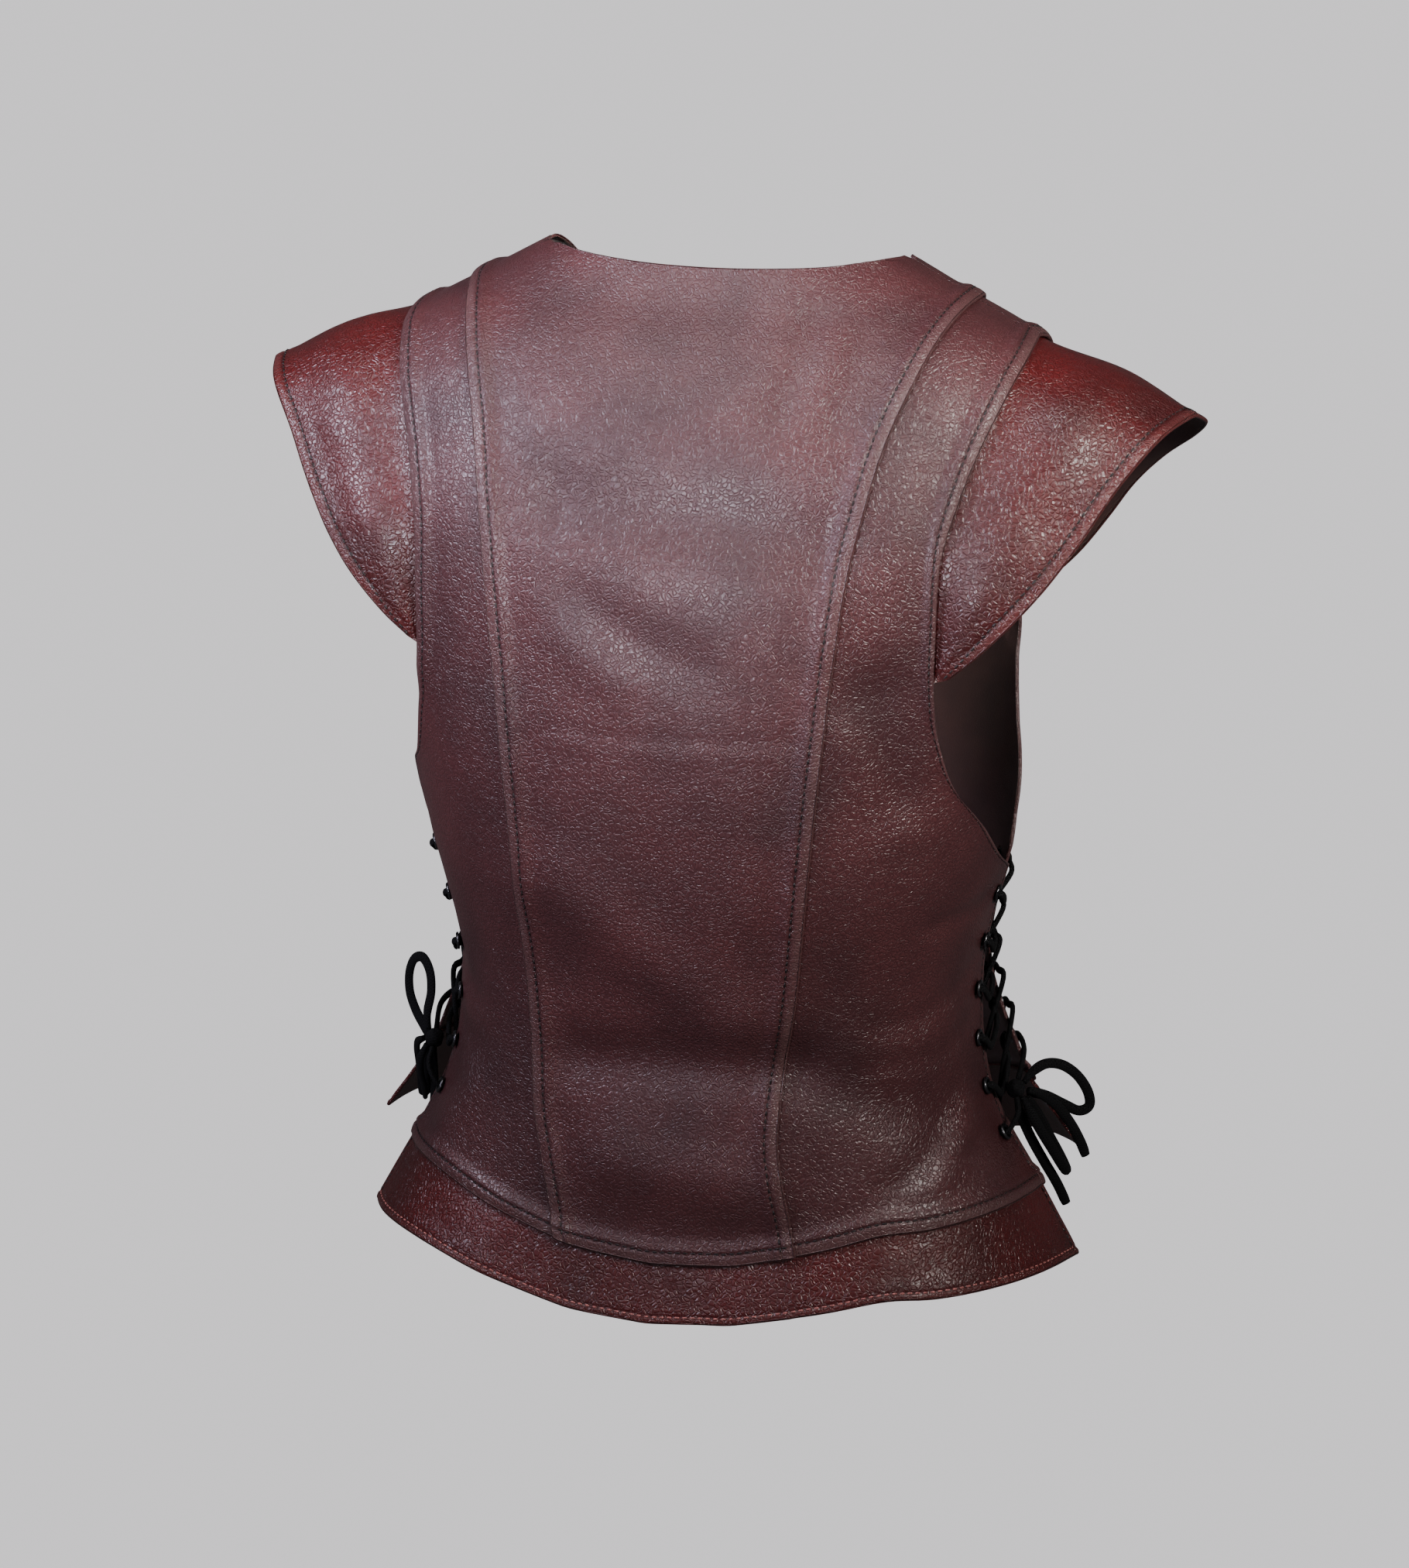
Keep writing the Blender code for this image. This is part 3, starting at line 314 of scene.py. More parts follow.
CREASES = {
    Face.BACK: creases(
        (20, -4.5, (50, 105, -108), (-76, 103, -118)),
        (20, 3.0, (50, 113, -295), (-40, 104, -362)),
        (16, -4.5, (40, 103, -388), (-62, 98, -380)),
        (16, -4.0, (-70, 94, -388), (-109, 73, -405), (-124, 54, -412)),
        (20, 4.0, (20, 105, -440), (-45, 103, -446)),
        (18, -4.0, (-106, 101, -195), (-112, 94, -242)),
        (3, -0.4, (55, 117, -216), (0, 120, -217), (-69, 114, -213)),
        (4, 0.3, (50, 117, -222), (0, 120, -223), (-60, 114, -220)),
        (12, -1.6, (40, 118, -150), (10, 118, -168), (-20, 118, -180)),
        (12, 1.2, (45, 118, -172), (20, 118, -190)),
        (6, -1.5, (-141, 24, -311), (-123, 67, -314)),
        (7, -2.0, (-132, 36, -409), (-126, 61, -432), (-112, 80, -446)),
        (7, 1.6, (-136, 40, -428), (-128, 66, -452)),
        (7, -1.3, (-140, 20, -350), (-128, 56, -362), (-108, 80, -366)),
        (6, -1.2, (-138, 14, -375), (-128, 50, -386), (-104, 78, -384)),
        (6, -1.2, (-150, 4, -438), (-140, 40, -440)),
        (8, 1.4, (-88, 110, -210), (-118, 92, -262)),
        (14, 2.4, (116, 80, -420), (124, 64, -446)),
        (10, -1.6, (132, 45, -360), (116, 75, -372)),
        (8, -1.4, (130, 50, -395), (110, 80, -398)),
        (8, -1.6, (-60, 60, -20), (-52, 90, -60)),
        (8, -1.4, (-84, 60, -30), (-78, 88, -66)),
    ),
    Face.FRONT: creases(
        (18, -4.0, (-50, -98, -372), (60, -98, -380)),
        (16, -3.5, (85, -85, -352), (120, -50, -372)),
        (16, -3.5, (-85, -85, -356), (-120, -50, -370)),
        (4, -0.9, (40, -112, -240), (-50, -112, -246)),
        (14, -1.5, (60, -108, -150), (-10, -114, -182)),
        (7, -1.4, (-140, -48, -330), (-118, -76, -338)),
        (7, -1.4, (140, -12, -330), (120, -64, -342)),
        (7, -1.3, (140, -14, -392), (118, -70, -400)),
        (7, -1.3, (-142, -50, -392), (-116, -80, -402)),
    ),
}


def crease_heights(face: Face, points: Array) -> Array:
    """Sums the creases and a slow unevenness, and fades both at the shoulder seam."""
    total = sum(crease.heights(FORMS[face], points) for crease in CREASES[face])
    for size, cell, seed in ((0.9, 0.070, 1.7), (0.35, 0.034, 5.1), (0.12, 0.014, 2.9)):
        total = total + size * MM * soft_noise(points, cell, seed)
    low = smooth_step(-0.12, -0.17, points[..., 2])
    return total * np.maximum(np.clip(np.abs(points[..., 1]) / 0.03, 0.0, 1.0), low)


# Seam lines

class PrincessPlace(NamedTuple):
    """Distances of the left and right princess seams from the centre at a height."""

    height: float
    left: float
    right: float


class Opening(NamedTuple):
    """A laced side opening: the y of its two edges and its height under the arm."""

    back_y: float
    front_y: float
    underarm_height: float


class Rise(NamedTuple):
    """A share of the way from the opening to the armhole, and the height above the underarm."""

    share: float
    rise: float


class HemPlace(NamedTuple):
    """Height of the hem seam at a distance from the centre."""

    x: float
    height: float


@dataclass(frozen=True)
class Cut:
    """The seam lines of one face of the doublet, laid on its worn form.

    Attributes:
        face: back or front.
        princess: the princess seams, from the hem up.
        princess_hem: where they meet the hem, by side.
        armhole: the armhole above the underarm, for the wearer's left.
        hem: the hem seam from the centre out.
        hem_corner: height of the hem seam's corner at the side opening, by side.
        neck: the neckline from the shoulder in.
        neck_centre: its middle.
    """

    face: Face
    princess: tuple[PrincessPlace, ...]
    princess_hem: dict[Side, float]
    armhole: tuple[Place, ...]
    hem: tuple[HemPlace, ...]
    hem_corner: dict[Side, float]
    neck: tuple[Place, ...]
    neck_centre: Place
    openings: dict[Side, Opening] = field(default_factory=lambda: {
        Side.LEFT: Opening(0.034, 0.000, -0.294),
        Side.RIGHT: Opening(-0.008, -0.041, -0.306),
    })
    underarm: tuple[Rise, ...] = (Rise(0.12, 0.004), Rise(0.40, 0.014), Rise(0.74, 0.032))
    princess_top: Place = Place(0.1245, 0.0, -0.0200)
    shoulder_middle: Place = Place(0.1395, 0.0, -0.0285)
    armhole_top: Place = Place(0.1535, 0.0, -0.0365)
    neck_side: Place = Place(0.106, 0.0, -0.0085)
    underarm_split: float = -0.300
    opening_x: float = 0.160
    hem_corner_x: float = 0.155

    @property
    def form(self) -> WornForm:
        """Gives the face's worn form."""
        return FORMS[self.face]

    def edge_y(self, side: Side) -> float:
        """Gives the y of a side opening's edge."""
        opening = self.openings[side]
        return opening.back_y if self.face is Face.BACK else opening.front_y

    def hem_height(self, side: Side, x: float) -> float:
        """Gives the hem seam's height at a distance x from the centre."""
        xs = [row.x for row in self.hem] + [self.hem_corner_x]
        return float(np.interp(abs(x), xs, [row.height for row in self.hem] + [self.hem_corner[side]]))

    def hem_place(self, side: Side, x: float) -> Array:
        """Gives the hem seam's place at x."""
        return self.form.surface_point(x, self.hem_height(side, x))

    def hem_line(self, side: Side) -> Array:
        """Hem seam from the princess seam to the side opening's edge."""
        corner = np.array((self.opening_x, self.edge_y(side), self.hem_corner[side]))
        places = [self.hem_place(side, x) for x in (self.princess_hem[side], 0.085, 0.108, 0.126)]
        near = 0.5 * (places[-1] + corner) + np.array((0.004, 0.0, 0.0))
        return self.form.settle(smooth_line([*places, near, corner]) * mirror_x(side))

    def princess_lines(self, side: Side) -> tuple[Array, Array]:
        """Princess seam: the line below the underarm's height and the line above it."""
        places = [self.hem_place(side, self.princess_hem[side])]
        places += [self.form.surface_point(getattr(p, side.name.lower()), p.height) for p in self.princess]
        line = self.form.settle(smooth_line([*places, self.princess_top]) * mirror_x(side))
        split = int(np.argmin(np.abs(line[:, 2] - self.underarm_split)))
        return line[: split + 1], line[split:]

    def outer_lines(self, side: Side) -> tuple[Array, Array]:
        """A side panel's outer boundary: the opening's edge, then the armhole."""
        y_edge, low, hem = self.edge_y(side), self.openings[side].underarm_height, self.hem_corner[side]
        heights = np.linspace(hem, low, 6)
        edge = np.stack([np.full(6, self.opening_x), np.full(6, y_edge), heights], axis=-1) * mirror_x(side)
        reach = self.armhole[0].y - y_edge
        curve = [(self.opening_x, y_edge + reach * step.share, low + step.rise) for step in self.underarm]
        opening = self.form.settle(smooth_line(self.form.settle(edge)))
        over = np.array([*curve, *self.armhole, self.armhole_top]) * mirror_x(side)
        return opening, self.form.settle(smooth_line([opening[-1], *over]))

    def shoulder_line(self, side: Side) -> Array:
        """Shoulder seam along the top of the form, from the princess seam to the armhole."""
        places = [self.princess_top, self.shoulder_middle, self.armhole_top]
        line = FORMS[Face.BACK].settle(smooth_line(places))
        line[:, 1] = 0.0
        return line * mirror_x(side)

    def neck_top_line(self) -> Array:
        """Top of a centre panel, left to right: shoulder seam, neckline, shoulder seam."""
        mirror = np.array((-1.0, 1.0, 1.0))
        shoulder = smooth_line([self.princess_top, self.neck_side, self.neck[0]])
        half = np.array([*self.neck, self.neck_centre])
        neck = smooth_line([*half, *(half[-2::-1] * mirror)])
        return self.form.settle(np.concatenate([shoulder[:-1], neck, shoulder[-2::-1] * mirror]))

    def centre_hem(self) -> Array:
        """Hem seam of the centre panel, left to right."""
        xs = np.linspace(self.princess_hem[Side.LEFT], -self.princess_hem[Side.RIGHT], 13)
        return smooth_line([self.hem_place(Side.LEFT if x > 0 else Side.RIGHT, x) for x in xs], 4)


CUTS = {
    Face.BACK: Cut(
        face=Face.BACK,
        princess=in_mm(
            PrincessPlace,
            (-460, 57, 65), (-437, 62, 60), (-412, 66, 58), (-350, 69, 65), (-272, 74, 74), (-205, 80, 81),
            (-148, 87, 87), (-116, 92, 92), (-77, 100, 100), (-45, 111, 111), (-29, 118, 118),
        ),
        princess_hem={Side.LEFT: 0.052, Side.RIGHT: 0.069},
        armhole=in_mm(
            Place,
            (136, 69, -246), (129.5, 81, -219), (127, 86, -196), (126.8, 87, -165), (128, 85, -130),
            (133, 77, -105), (140.5, 63, -78), (148, 46, -57), (152.5, 24, -43),
        ),
        hem=in_mm(HemPlace, (0, -488), (40, -485), (80, -476), (115, -467)),
        hem_corner={Side.LEFT: -0.462, Side.RIGHT: -0.4745},
        neck=in_mm(Place, (88, 0, -2), (70, 27, -3.5), (40, 40, -4.5)),
        neck_centre=Place(0.0, 0.044, -0.005),
    ),
    Face.FRONT: Cut(
        face=Face.FRONT,
        princess=in_mm(
            PrincessPlace,
            (-412, 62, 62), (-350, 67, 67), (-272, 76, 76), (-205, 83, 83), (-148, 89, 89), (-116, 94, 94),
            (-77, 102, 102), (-45, 112, 112), (-29, 119, 119),
        ),
        princess_hem={Side.LEFT: 0.060, Side.RIGHT: 0.060},
        armhole=in_mm(
            Place,
            (138, -66, -246), (133, -75, -219), (131.5, -79, -196), (131.5, -80, -165), (132.5, -78, -130),
            (137.5, -70, -105), (144, -57, -78), (150.5, -40, -57), (153.5, -22, -43.5),
        ),
        hem=in_mm(HemPlace, (0, -489), (20, -488), (45, -483), (80, -470), (115, -452)),
        hem_corner={Side.LEFT: -0.426, Side.RIGHT: -0.426},
        neck=in_mm(Place, (88, 0, -2), (78, -48, -35), (46, -83, -70)),
        neck_centre=Place(0.0, -0.097, -0.088),
    ),
}


# Leather pieces as grids

@dataclass
class Cloth:
    """A leather piece as a grid, flesh side down on the form.

    Attributes:
        place: rows by columns of places.
        out: outward directions there.
        lift: height of the flesh side over the form where the piece laps another.
        relief: height of the creases there, also used by the finish to paint shade in the troughs.
    """

    place: Array
    out: Array
    lift: Array
    relief: Array

    def distance(self, edge: Edge) -> Array:
        """Gives every grid point's distance from an edge, along the grid."""
        axis = 1 if edge in (Edge.FIRST, Edge.LAST) else 0
        steps = np.linalg.norm(np.diff(self.place, axis=axis), axis=-1)
        run = np.cumsum(steps, axis=axis)
        zero = np.zeros_like(np.take(run, [0], axis=axis))
        run = np.concatenate([zero, run], axis=axis)
        if edge in (Edge.LAST, Edge.HIGH):
            run = np.take(run, [-1], axis=axis) - run
        return run


def lap_lift(distance: Array) -> Array:
    """Raises a lapping edge by one layer, and lets it down smoothly inside the lap."""
    return LAYER * (1.0 - smooth_step(LAP, LAP + RAMP, distance))


def lower_shares() -> Array:
    """Row places from the hem to the underarm, as shares of that length."""
    even = np.arange(EDGE_STEPS[-1] + GRID_STEP, LACED_LENGTH, GRID_STEP)
    return np.concatenate([EDGE_STEPS, even]) / LACED_LENGTH


def upper_shares() -> Array:
    """Row places from the underarm to the shoulder, as shares of that length."""
    even = np.arange(0.0, UPPER_LENGTH - EDGE_STEPS[-1], GRID_STEP)
    return np.concatenate([even, UPPER_LENGTH - EDGE_STEPS[::-1]]) / UPPER_LENGTH


def rows_of(lines: tuple[Array, Array]) -> Array:
    """Samples a boundary made of a lower and an upper line at all the rows."""
    return np.concatenate([sampled(lines[0], lower_shares()), sampled(lines[1], upper_shares())])


def blended_rows(left: Array, right: Array, bottom: Array, top: Array) -> Array:
    """Fills four boundary lines with rows: the sum of the two straight blends between opposite
    lines, less the straight blend of the four corners.

    Args:
        left: the left boundary, one point a row.
        right: the right boundary, the same.
        bottom: the first row's line.
        top: the last row's line.

    Returns:
        Rows of points, from left to right.
    """
    u = np.linspace(0.0, 1.0, 41)
    v = lengths_along(left)[:, None, None] / lengths_along(left)[-1]
    low, high = sampled(bottom, u)[None], sampled(top, u)[None]
    u = u[None, :, None]
    corners = (1 - v) * ((1 - u) * left[0] + u * right[0]) + v * ((1 - u) * left[-1] + u * right[-1])
    return (1 - u) * left[:, None] + u * right[:, None] + (1 - v) * low + v * high - corners


def spread_columns(rows: Array, near: Array, count: int, far: Array) -> Array:
    """Reads each row at set distances from both ends and evenly between them.

    Args:
        rows: rows of points.
        near: distances from the row's start.
        count: how many even columns between.
        far: distances from the row's end.
    """
    made = []
    for row in rows:
        total = lengths_along(row)[-1]
        inner = np.linspace(near[-1], total - far[-1], count + 2)[1:-1]
        made.append(points_at(row, np.concatenate([near, inner, total - far[::-1]])))
    return np.array(made)


def creased(face: Face, base: Array, lift: Array) -> Cloth:
    """Adds the creases to a grid on the form, and keeps its directions."""
    out = FORMS[face].outward(base)
    relief = crease_heights(face, base)
    place = base + out * relief[..., None]
    place[-1, :, 1] += face.value * SEAM_GAP / 2.0
    return Cloth(place, out, lift, relief)


def flat_cloth(base: Array) -> Cloth:
    """Wraps a bare grid so that distances can be read on it."""
    zero = np.zeros(base.shape[:2])
    return Cloth(base, np.zeros_like(base), zero, zero)


# Edges that are folded under and topstitched

@dataclass(frozen=True)
class TurnedEdge:
    """A folded and topstitched edge.

    Attributes:
        stitch_in: distance of the stitching from the fold.
        depth: how far the turning reaches under the leather.
        rise: how much the turning raises the leather.
        puff: how far the leather stands up between the fold and the stitching.
        groove: how deep the stitching pulls the leather down.
        groove_width: distance from the stitching at which the groove has mostly gone.
        shade_width: the same for the line of painted shade along the stitching.
    """

    stitch_in: float = 5.5 * MM
    depth: float = 13.5 * MM
    rise: float = 0.45 * MM
    puff: float = 0.28 * MM
    groove: float = 0.45 * MM
    groove_width: float = 0.6 * MM
    shade_width: float = 1.0 * MM

    def heights(self, distance: Array) -> Array:
        """Sums the turning's step and a half sine between fold and stitching."""
        step = self.rise * (1.0 - smooth_step(0.75 * self.depth, 1.1 * self.depth, distance))
        share = np.clip(distance / self.stitch_in, 0.0, 1.0)
        return step + self.puff * np.sin(math.pi * share) ** 0.8

    def pull(self, distance: Array) -> Array:
        """Gives the stitching's groove: its depth times exp(-((d - stitch_in) / groove_width)^2)."""
        return self.groove * np.exp(-(((distance - self.stitch_in) / self.groove_width) ** 2))

    def shade(self, distance: Array) -> Array:
        """Gives the painted shade along the stitching: exp(-((d - stitch_in) / shade_width)^2)."""
        return np.exp(-(((distance - self.stitch_in) / self.shade_width) ** 2))


@dataclass(frozen=True)
class StitchRow:
    """A row of stitches beside an edge.

    Attributes:
        edge: the edge it follows.
        inset: its distance from that edge.
        start: where it starts along the edge, in metres.
        stop: how far from the edge's end it stops.
    """

    edge: Edge
    inset: float
    start: float = 3.0 * MM
    stop: float = 3.0 * MM


def row_path(surface: Array, cloth: Cloth, row: StitchRow) -> tuple[Array, Array]:
    """Reads a stitch row's path and outward directions from a piece's grain side."""
    distance = cloth.distance(row.edge)
    axis = 1 if row.edge in (Edge.FIRST, Edge.LAST) else 0
    index = int(np.argmin(np.abs(distance.mean(axis=1 - axis) - row.inset)))
    return np.take(surface, index, axis=axis), np.take(cloth.out, index, axis=axis)


# Colours and nodes

def to_linear(colour: str) -> tuple[float, float, float, float]:
    """Turns an sRGB hex colour into linear light."""
    values = np.array([int(colour[k : k + 2], 16) for k in (1, 3, 5)]) / 255.0
    light = np.where(values <= 0.04045, values / 12.92, ((values + 0.055) / 1.055) ** 2.4)
    return (*map(float, light), 1.0)


def add_node(
    tree: bpy.types.NodeTree, kind: str, inputs: dict[Any, Any] | None = None, **settings: Any
) -> Any:
    """Adds a node.

    Args:
        tree: the material's node tree.
        kind: the node's type.
        inputs: by input name or number, a value or a socket to link.
        settings: the node's own properties.

    Returns:
        The node.
    """
    made = tree.nodes.new(kind)
    for name, value in settings.items():
        setattr(made, name, value)
    for name, value in (inputs or {}).items():
        if isinstance(value, bpy.types.NodeSocket):
            tree.links.new(value, made.inputs[name])
        else:
            made.inputs[name].default_value = value
    return made


def new_material(name: str) -> tuple[bpy.types.Material, bpy.types.NodeTree, Any]:
    """Makes an empty Principled material and returns it with its tree and shader."""
    material = bpy.data.materials.new(name)
    material.use_nodes = True
    return material, material.node_tree, material.node_tree.nodes["Principled BSDF"]


def blended(tree: bpy.types.NodeTree, share: Any, first: Any, second: Any) -> Any:
    """Mixes two colours, hex or sockets, and returns the result's socket."""
    mix = add_node(tree, "ShaderNodeMix", {"Factor": share}, data_type="RGBA")
    for slot, colour in ((6, first), (7, second)):
        if isinstance(colour, str):
            mix.inputs[slot].default_value = to_linear(colour)
        else:
            tree.links.new(colour, mix.inputs[slot])
    return mix.outputs[2]


def ranged(
    tree: bpy.types.NodeTree, value: Any, given: tuple[float, float], wanted: tuple[float, float]
) -> Any:
    """Maps a value's range to another and returns the result's socket."""
    spans = {"From Min": given[0], "From Max": given[1], "To Min": wanted[0], "To Max": wanted[1]}
    return add_node(tree, "ShaderNodeMapRange", {"Value": value, **spans}).outputs[0]


@dataclass(frozen=True)
class Leather:
    """Aniline-dyed cow leather, rolled to a pebbled grain and finished with a clear coat.

    Each pebble is a round cushion, so highlights break into glints; wrinkles twice to four times as
    wide run through the pebbles.  The dye is a little uneven, and the finish wears pale where an edge
    is folded.  Shade is painted in too: the valleys between the pebbles, the crease troughs and the
    lines along the stitching are darkened towards the deep colour.

    Attributes:
        name: the finish in words.
        dye: the main colour.
        deep: the darker colour of the uneven dye, also used for the painted shade.
        worn: the colour on rubbed folds.
        pebble: size of one pebble, in metres.
        relief: height of the pebbles, in metres.
        roughness: the finish's roughness.
        coat: weight of the clear coat.
        coat_roughness: roughness of the clear coat.
    """

    name: str
    dye: str
    deep: str
    worn: str
    pebble: float
    relief: float
    roughness: float
    coat: float
    coat_roughness: float

    def make(self) -> bpy.types.Material:
        """Builds the material."""
        material, tree, shader = new_material(self.name)
        place = add_node(tree, "ShaderNodeTexCoord").outputs["Object"]
        wander = add_node(
            tree, "ShaderNodeTexNoise", {"Vector": place, "Scale": 0.5 / self.pebble, "Detail": 1.0}
        )
        shifted = add_node(
            tree, "ShaderNodeVectorMath", {0: wander.outputs["Color"], 1: (1.6 * self.pebble,) * 3},
            operation="MULTIPLY",
        )
        moved = add_node(tree, "ShaderNodeVectorMath", {0: place, 1: shifted.outputs[0]}, operation="ADD")
        pebbles = add_node(
            tree, "ShaderNodeTexVoronoi", {"Vector": moved.outputs[0], "Scale": 1.0 / self.pebble},
            feature="DISTANCE_TO_EDGE",
        )
        valley = add_node(
            tree, "ShaderNodeMapRange", {"Value": pebbles.outputs["Distance"], "From Max": 0.24},
            interpolation_type="SMOOTHSTEP",
        )
        cushion = valley.outputs[0]
        wrinkles = add_node(
            tree, "ShaderNodeTexNoise",
            {"Vector": place, "Scale": 0.32 / self.pebble, "Detail": 2.0, "Roughness": 0.4},
        )
        uneven = add_node(tree, "ShaderNodeTexNoise", {"Vector": place, "Scale": 18.0, "Detail": 4.0})
        height = add_node(
            tree, "ShaderNodeMath", {0: wrinkles.outputs["Fac"], 1: 1.3, 2: cushion}, operation="MULTIPLY_ADD"
        )
        bump = add_node(tree, "ShaderNodeBump", {"Height": height.outputs[0], "Distance": self.relief})
        relief = add_node(tree, "ShaderNodeAttribute", attribute_name="relief").outputs["Fac"]
        wear = add_node(tree, "ShaderNodeAttribute", attribute_name="wear").outputs["Fac"]
        patches = ranged(tree, uneven.outputs["Fac"], (0.3, 0.65), (0.0, 1.0))
        dyed = blended(tree, patches, self.deep, self.dye)
        # Painted shade: the valleys between the pebbles are darkened towards the deep colour.
        valley_shaded = blended(tree, ranged(tree, cushion, (0.0, 0.6), (0.5, 0.0)), dyed, self.deep)
        # Painted shade: crease troughs and the lines along the stitching, from the relief attribute, are
        # darkened towards the deep colour.
        shaded = blended(tree, ranged(tree, relief, (-0.2, -2.0), (0.0, 0.55)), valley_shaded, self.deep)
        gloss = (self.roughness + 0.06, self.roughness - 0.06)
        rough = ranged(tree, uneven.outputs["Fac"], (0.3, 0.7), gloss)
        tree.links.new(blended(tree, wear, shaded, self.worn), shader.inputs["Base Color"])
        tree.links.new(rough, shader.inputs["Roughness"])
        tree.links.new(bump.outputs[0], shader.inputs["Normal"])
        tree.links.new(bump.outputs[0], shader.inputs["Coat Normal"])
        shader.inputs["Coat Weight"].default_value = self.coat
        shader.inputs["Coat Roughness"].default_value = self.coat_roughness
        shader.inputs["IOR"].default_value = 1.46
        return material


@dataclass(frozen=True)
class FleshSide:
    """The leather's flesh side: napped, matt and paler than the grain side."""

    name: str = "leather flesh side"
    nap: str = "#54322e"
    deep: str = "#341d1b"
    fibre: float = 0.9 * MM

    def make(self) -> bpy.types.Material:
        """Builds the material."""
        material, tree, shader = new_material(self.name)
        place = add_node(tree, "ShaderNodeTexCoord").outputs["Object"]
        nap = add_node(
            tree, "ShaderNodeTexNoise", {"Vector": place, "Scale": 1.0 / self.fibre, "Detail": 4.0}
        )
        mottle = add_node(tree, "ShaderNodeTexNoise", {"Vector": place, "Scale": 40.0, "Detail": 3.0})
        bump = add_node(
            tree, "ShaderNodeBump", {"Height": nap.outputs["Fac"], "Distance": 0.25 * MM, "Strength": 0.8}
        )
        tree.links.new(blended(tree, mottle.outputs["Fac"], self.deep, self.nap), shader.inputs["Base Color"])
        tree.links.new(bump.outputs[0], shader.inputs["Normal"])
        shader.inputs["Roughness"].default_value = 0.9
        shader.inputs["Sheen Weight"].default_value = 0.2
        return material


@dataclass(frozen=True)
class Thread:
    """Waxed polyester sewing thread: two plies that catch a little light, with painted shade between them."""

    name: str
    colour: str
    ply: float = 0.5 * MM

    def make(self) -> bpy.types.Material:
        """Builds the material."""
        material, tree, shader = new_material(self.name)
        place = add_node(tree, "ShaderNodeTexCoord").outputs["Object"]
        plies = add_node(
            tree, "ShaderNodeTexWave", {"Vector": place, "Scale": 1.0 / self.ply / 6.3, "Distortion": 1.0},
            bands_direction="DIAGONAL",
        )
        # Painted shade: the colour is darkened in the grooves between the plies.
        ply_shade = ranged(tree, plies.outputs["Fac"], (0.0, 1.0), (0.6, 1.0))
        shaded = add_node(tree, "ShaderNodeHueSaturation", {"Color": to_linear(self.colour), "Value": ply_shade})
        bump = add_node(tree, "ShaderNodeBump", {"Height": plies.outputs["Fac"], "Distance": 0.1 * MM})
        tree.links.new(shaded.outputs[0], shader.inputs["Base Color"])
        tree.links.new(bump.outputs[0], shader.inputs["Normal"])
        shader.inputs["Roughness"].default_value = 0.55
        return material


@dataclass(frozen=True)
class GunmetalEyelet:
    """Black-nickel-plated brass: dark, with fine scratches and patches rubbed bright."""

    name: str = "black nickel"
    plate: str = "#3a3a3e"
    rubbed: str = "#6a6a6c"

    def make(self) -> bpy.types.Material:
        """Builds the material."""
        material, tree, shader = new_material(self.name)
        place = add_node(tree, "ShaderNodeTexCoord").outputs["Object"]
        wear = add_node(tree, "ShaderNodeTexNoise", {"Vector": place, "Scale": 900.0, "Detail": 3.0})
        colour = blended(tree, wear.outputs["Fac"], self.plate, self.rubbed)
        rough = ranged(tree, wear.outputs["Fac"], (0.0, 1.0), (0.22, 0.42))
        bump = add_node(tree, "ShaderNodeBump", {"Height": wear.outputs["Fac"], "Distance": 0.03 * MM})
        tree.links.new(colour, shader.inputs["Base Color"])
        tree.links.new(rough, shader.inputs["Roughness"])
        tree.links.new(bump.outputs[0], shader.inputs["Normal"])
        shader.inputs["Metallic"].default_value = 1.0
        return material


@dataclass(frozen=True)
class BlackCord:
    """Soft braided cotton lace: matt black strands that cross at a slant, with painted shade in the gaps
    between them.

    The pattern follows the piece's own UV map: U once round the cord, V along it in cord widths.
    """

    name: str = "braided cotton lace"
    strand: str = "#0c0c0e"
    # Painted shade: the colour of the gaps between the strands.
    gap_shade: str = "#020203"
    strands_round: float = 6.0
    strands_along: float = 2.0

    def make(self) -> bpy.types.Material:
        """Builds the material."""
        material, tree, shader = new_material(self.name)
        uv = add_node(tree, "ShaderNodeUVMap", uv_map="lay")
        parts = add_node(tree, "ShaderNodeSeparateXYZ", {0: uv.outputs[0]})
        waves = []
        for turn in (1.0, -1.0):
            around = add_node(
                tree, "ShaderNodeMath", {0: parts.outputs["X"], 1: math.tau * self.strands_round},
                operation="MULTIPLY",
            )
            phase = add_node(
                tree, "ShaderNodeMath",
                {0: parts.outputs["Y"], 1: turn * math.tau * self.strands_along, 2: around.outputs[0]},
                operation="MULTIPLY_ADD",
            )
            waves.append(add_node(tree, "ShaderNodeMath", {0: phase.outputs[0]}, operation="SINE"))
        crossed = {0: waves[0].outputs[0], 1: waves[1].outputs[0]}
        weave = add_node(tree, "ShaderNodeMath", crossed, operation="MAXIMUM")
        level = ranged(tree, weave.outputs[0], (-1.0, 1.0), (0.0, 1.0))
        bump = add_node(tree, "ShaderNodeBump", {"Height": level, "Distance": 0.25 * MM, "Strength": 0.8})
        # Painted shade: the weave darkens the gaps between the strands.
        tree.links.new(blended(tree, level, self.gap_shade, self.strand), shader.inputs["Base Color"])
        tree.links.new(bump.outputs[0], shader.inputs["Normal"])
        shader.inputs["Roughness"].default_value = 0.9
        shader.inputs["Specular IOR Level"].default_value = 0.2
        return material


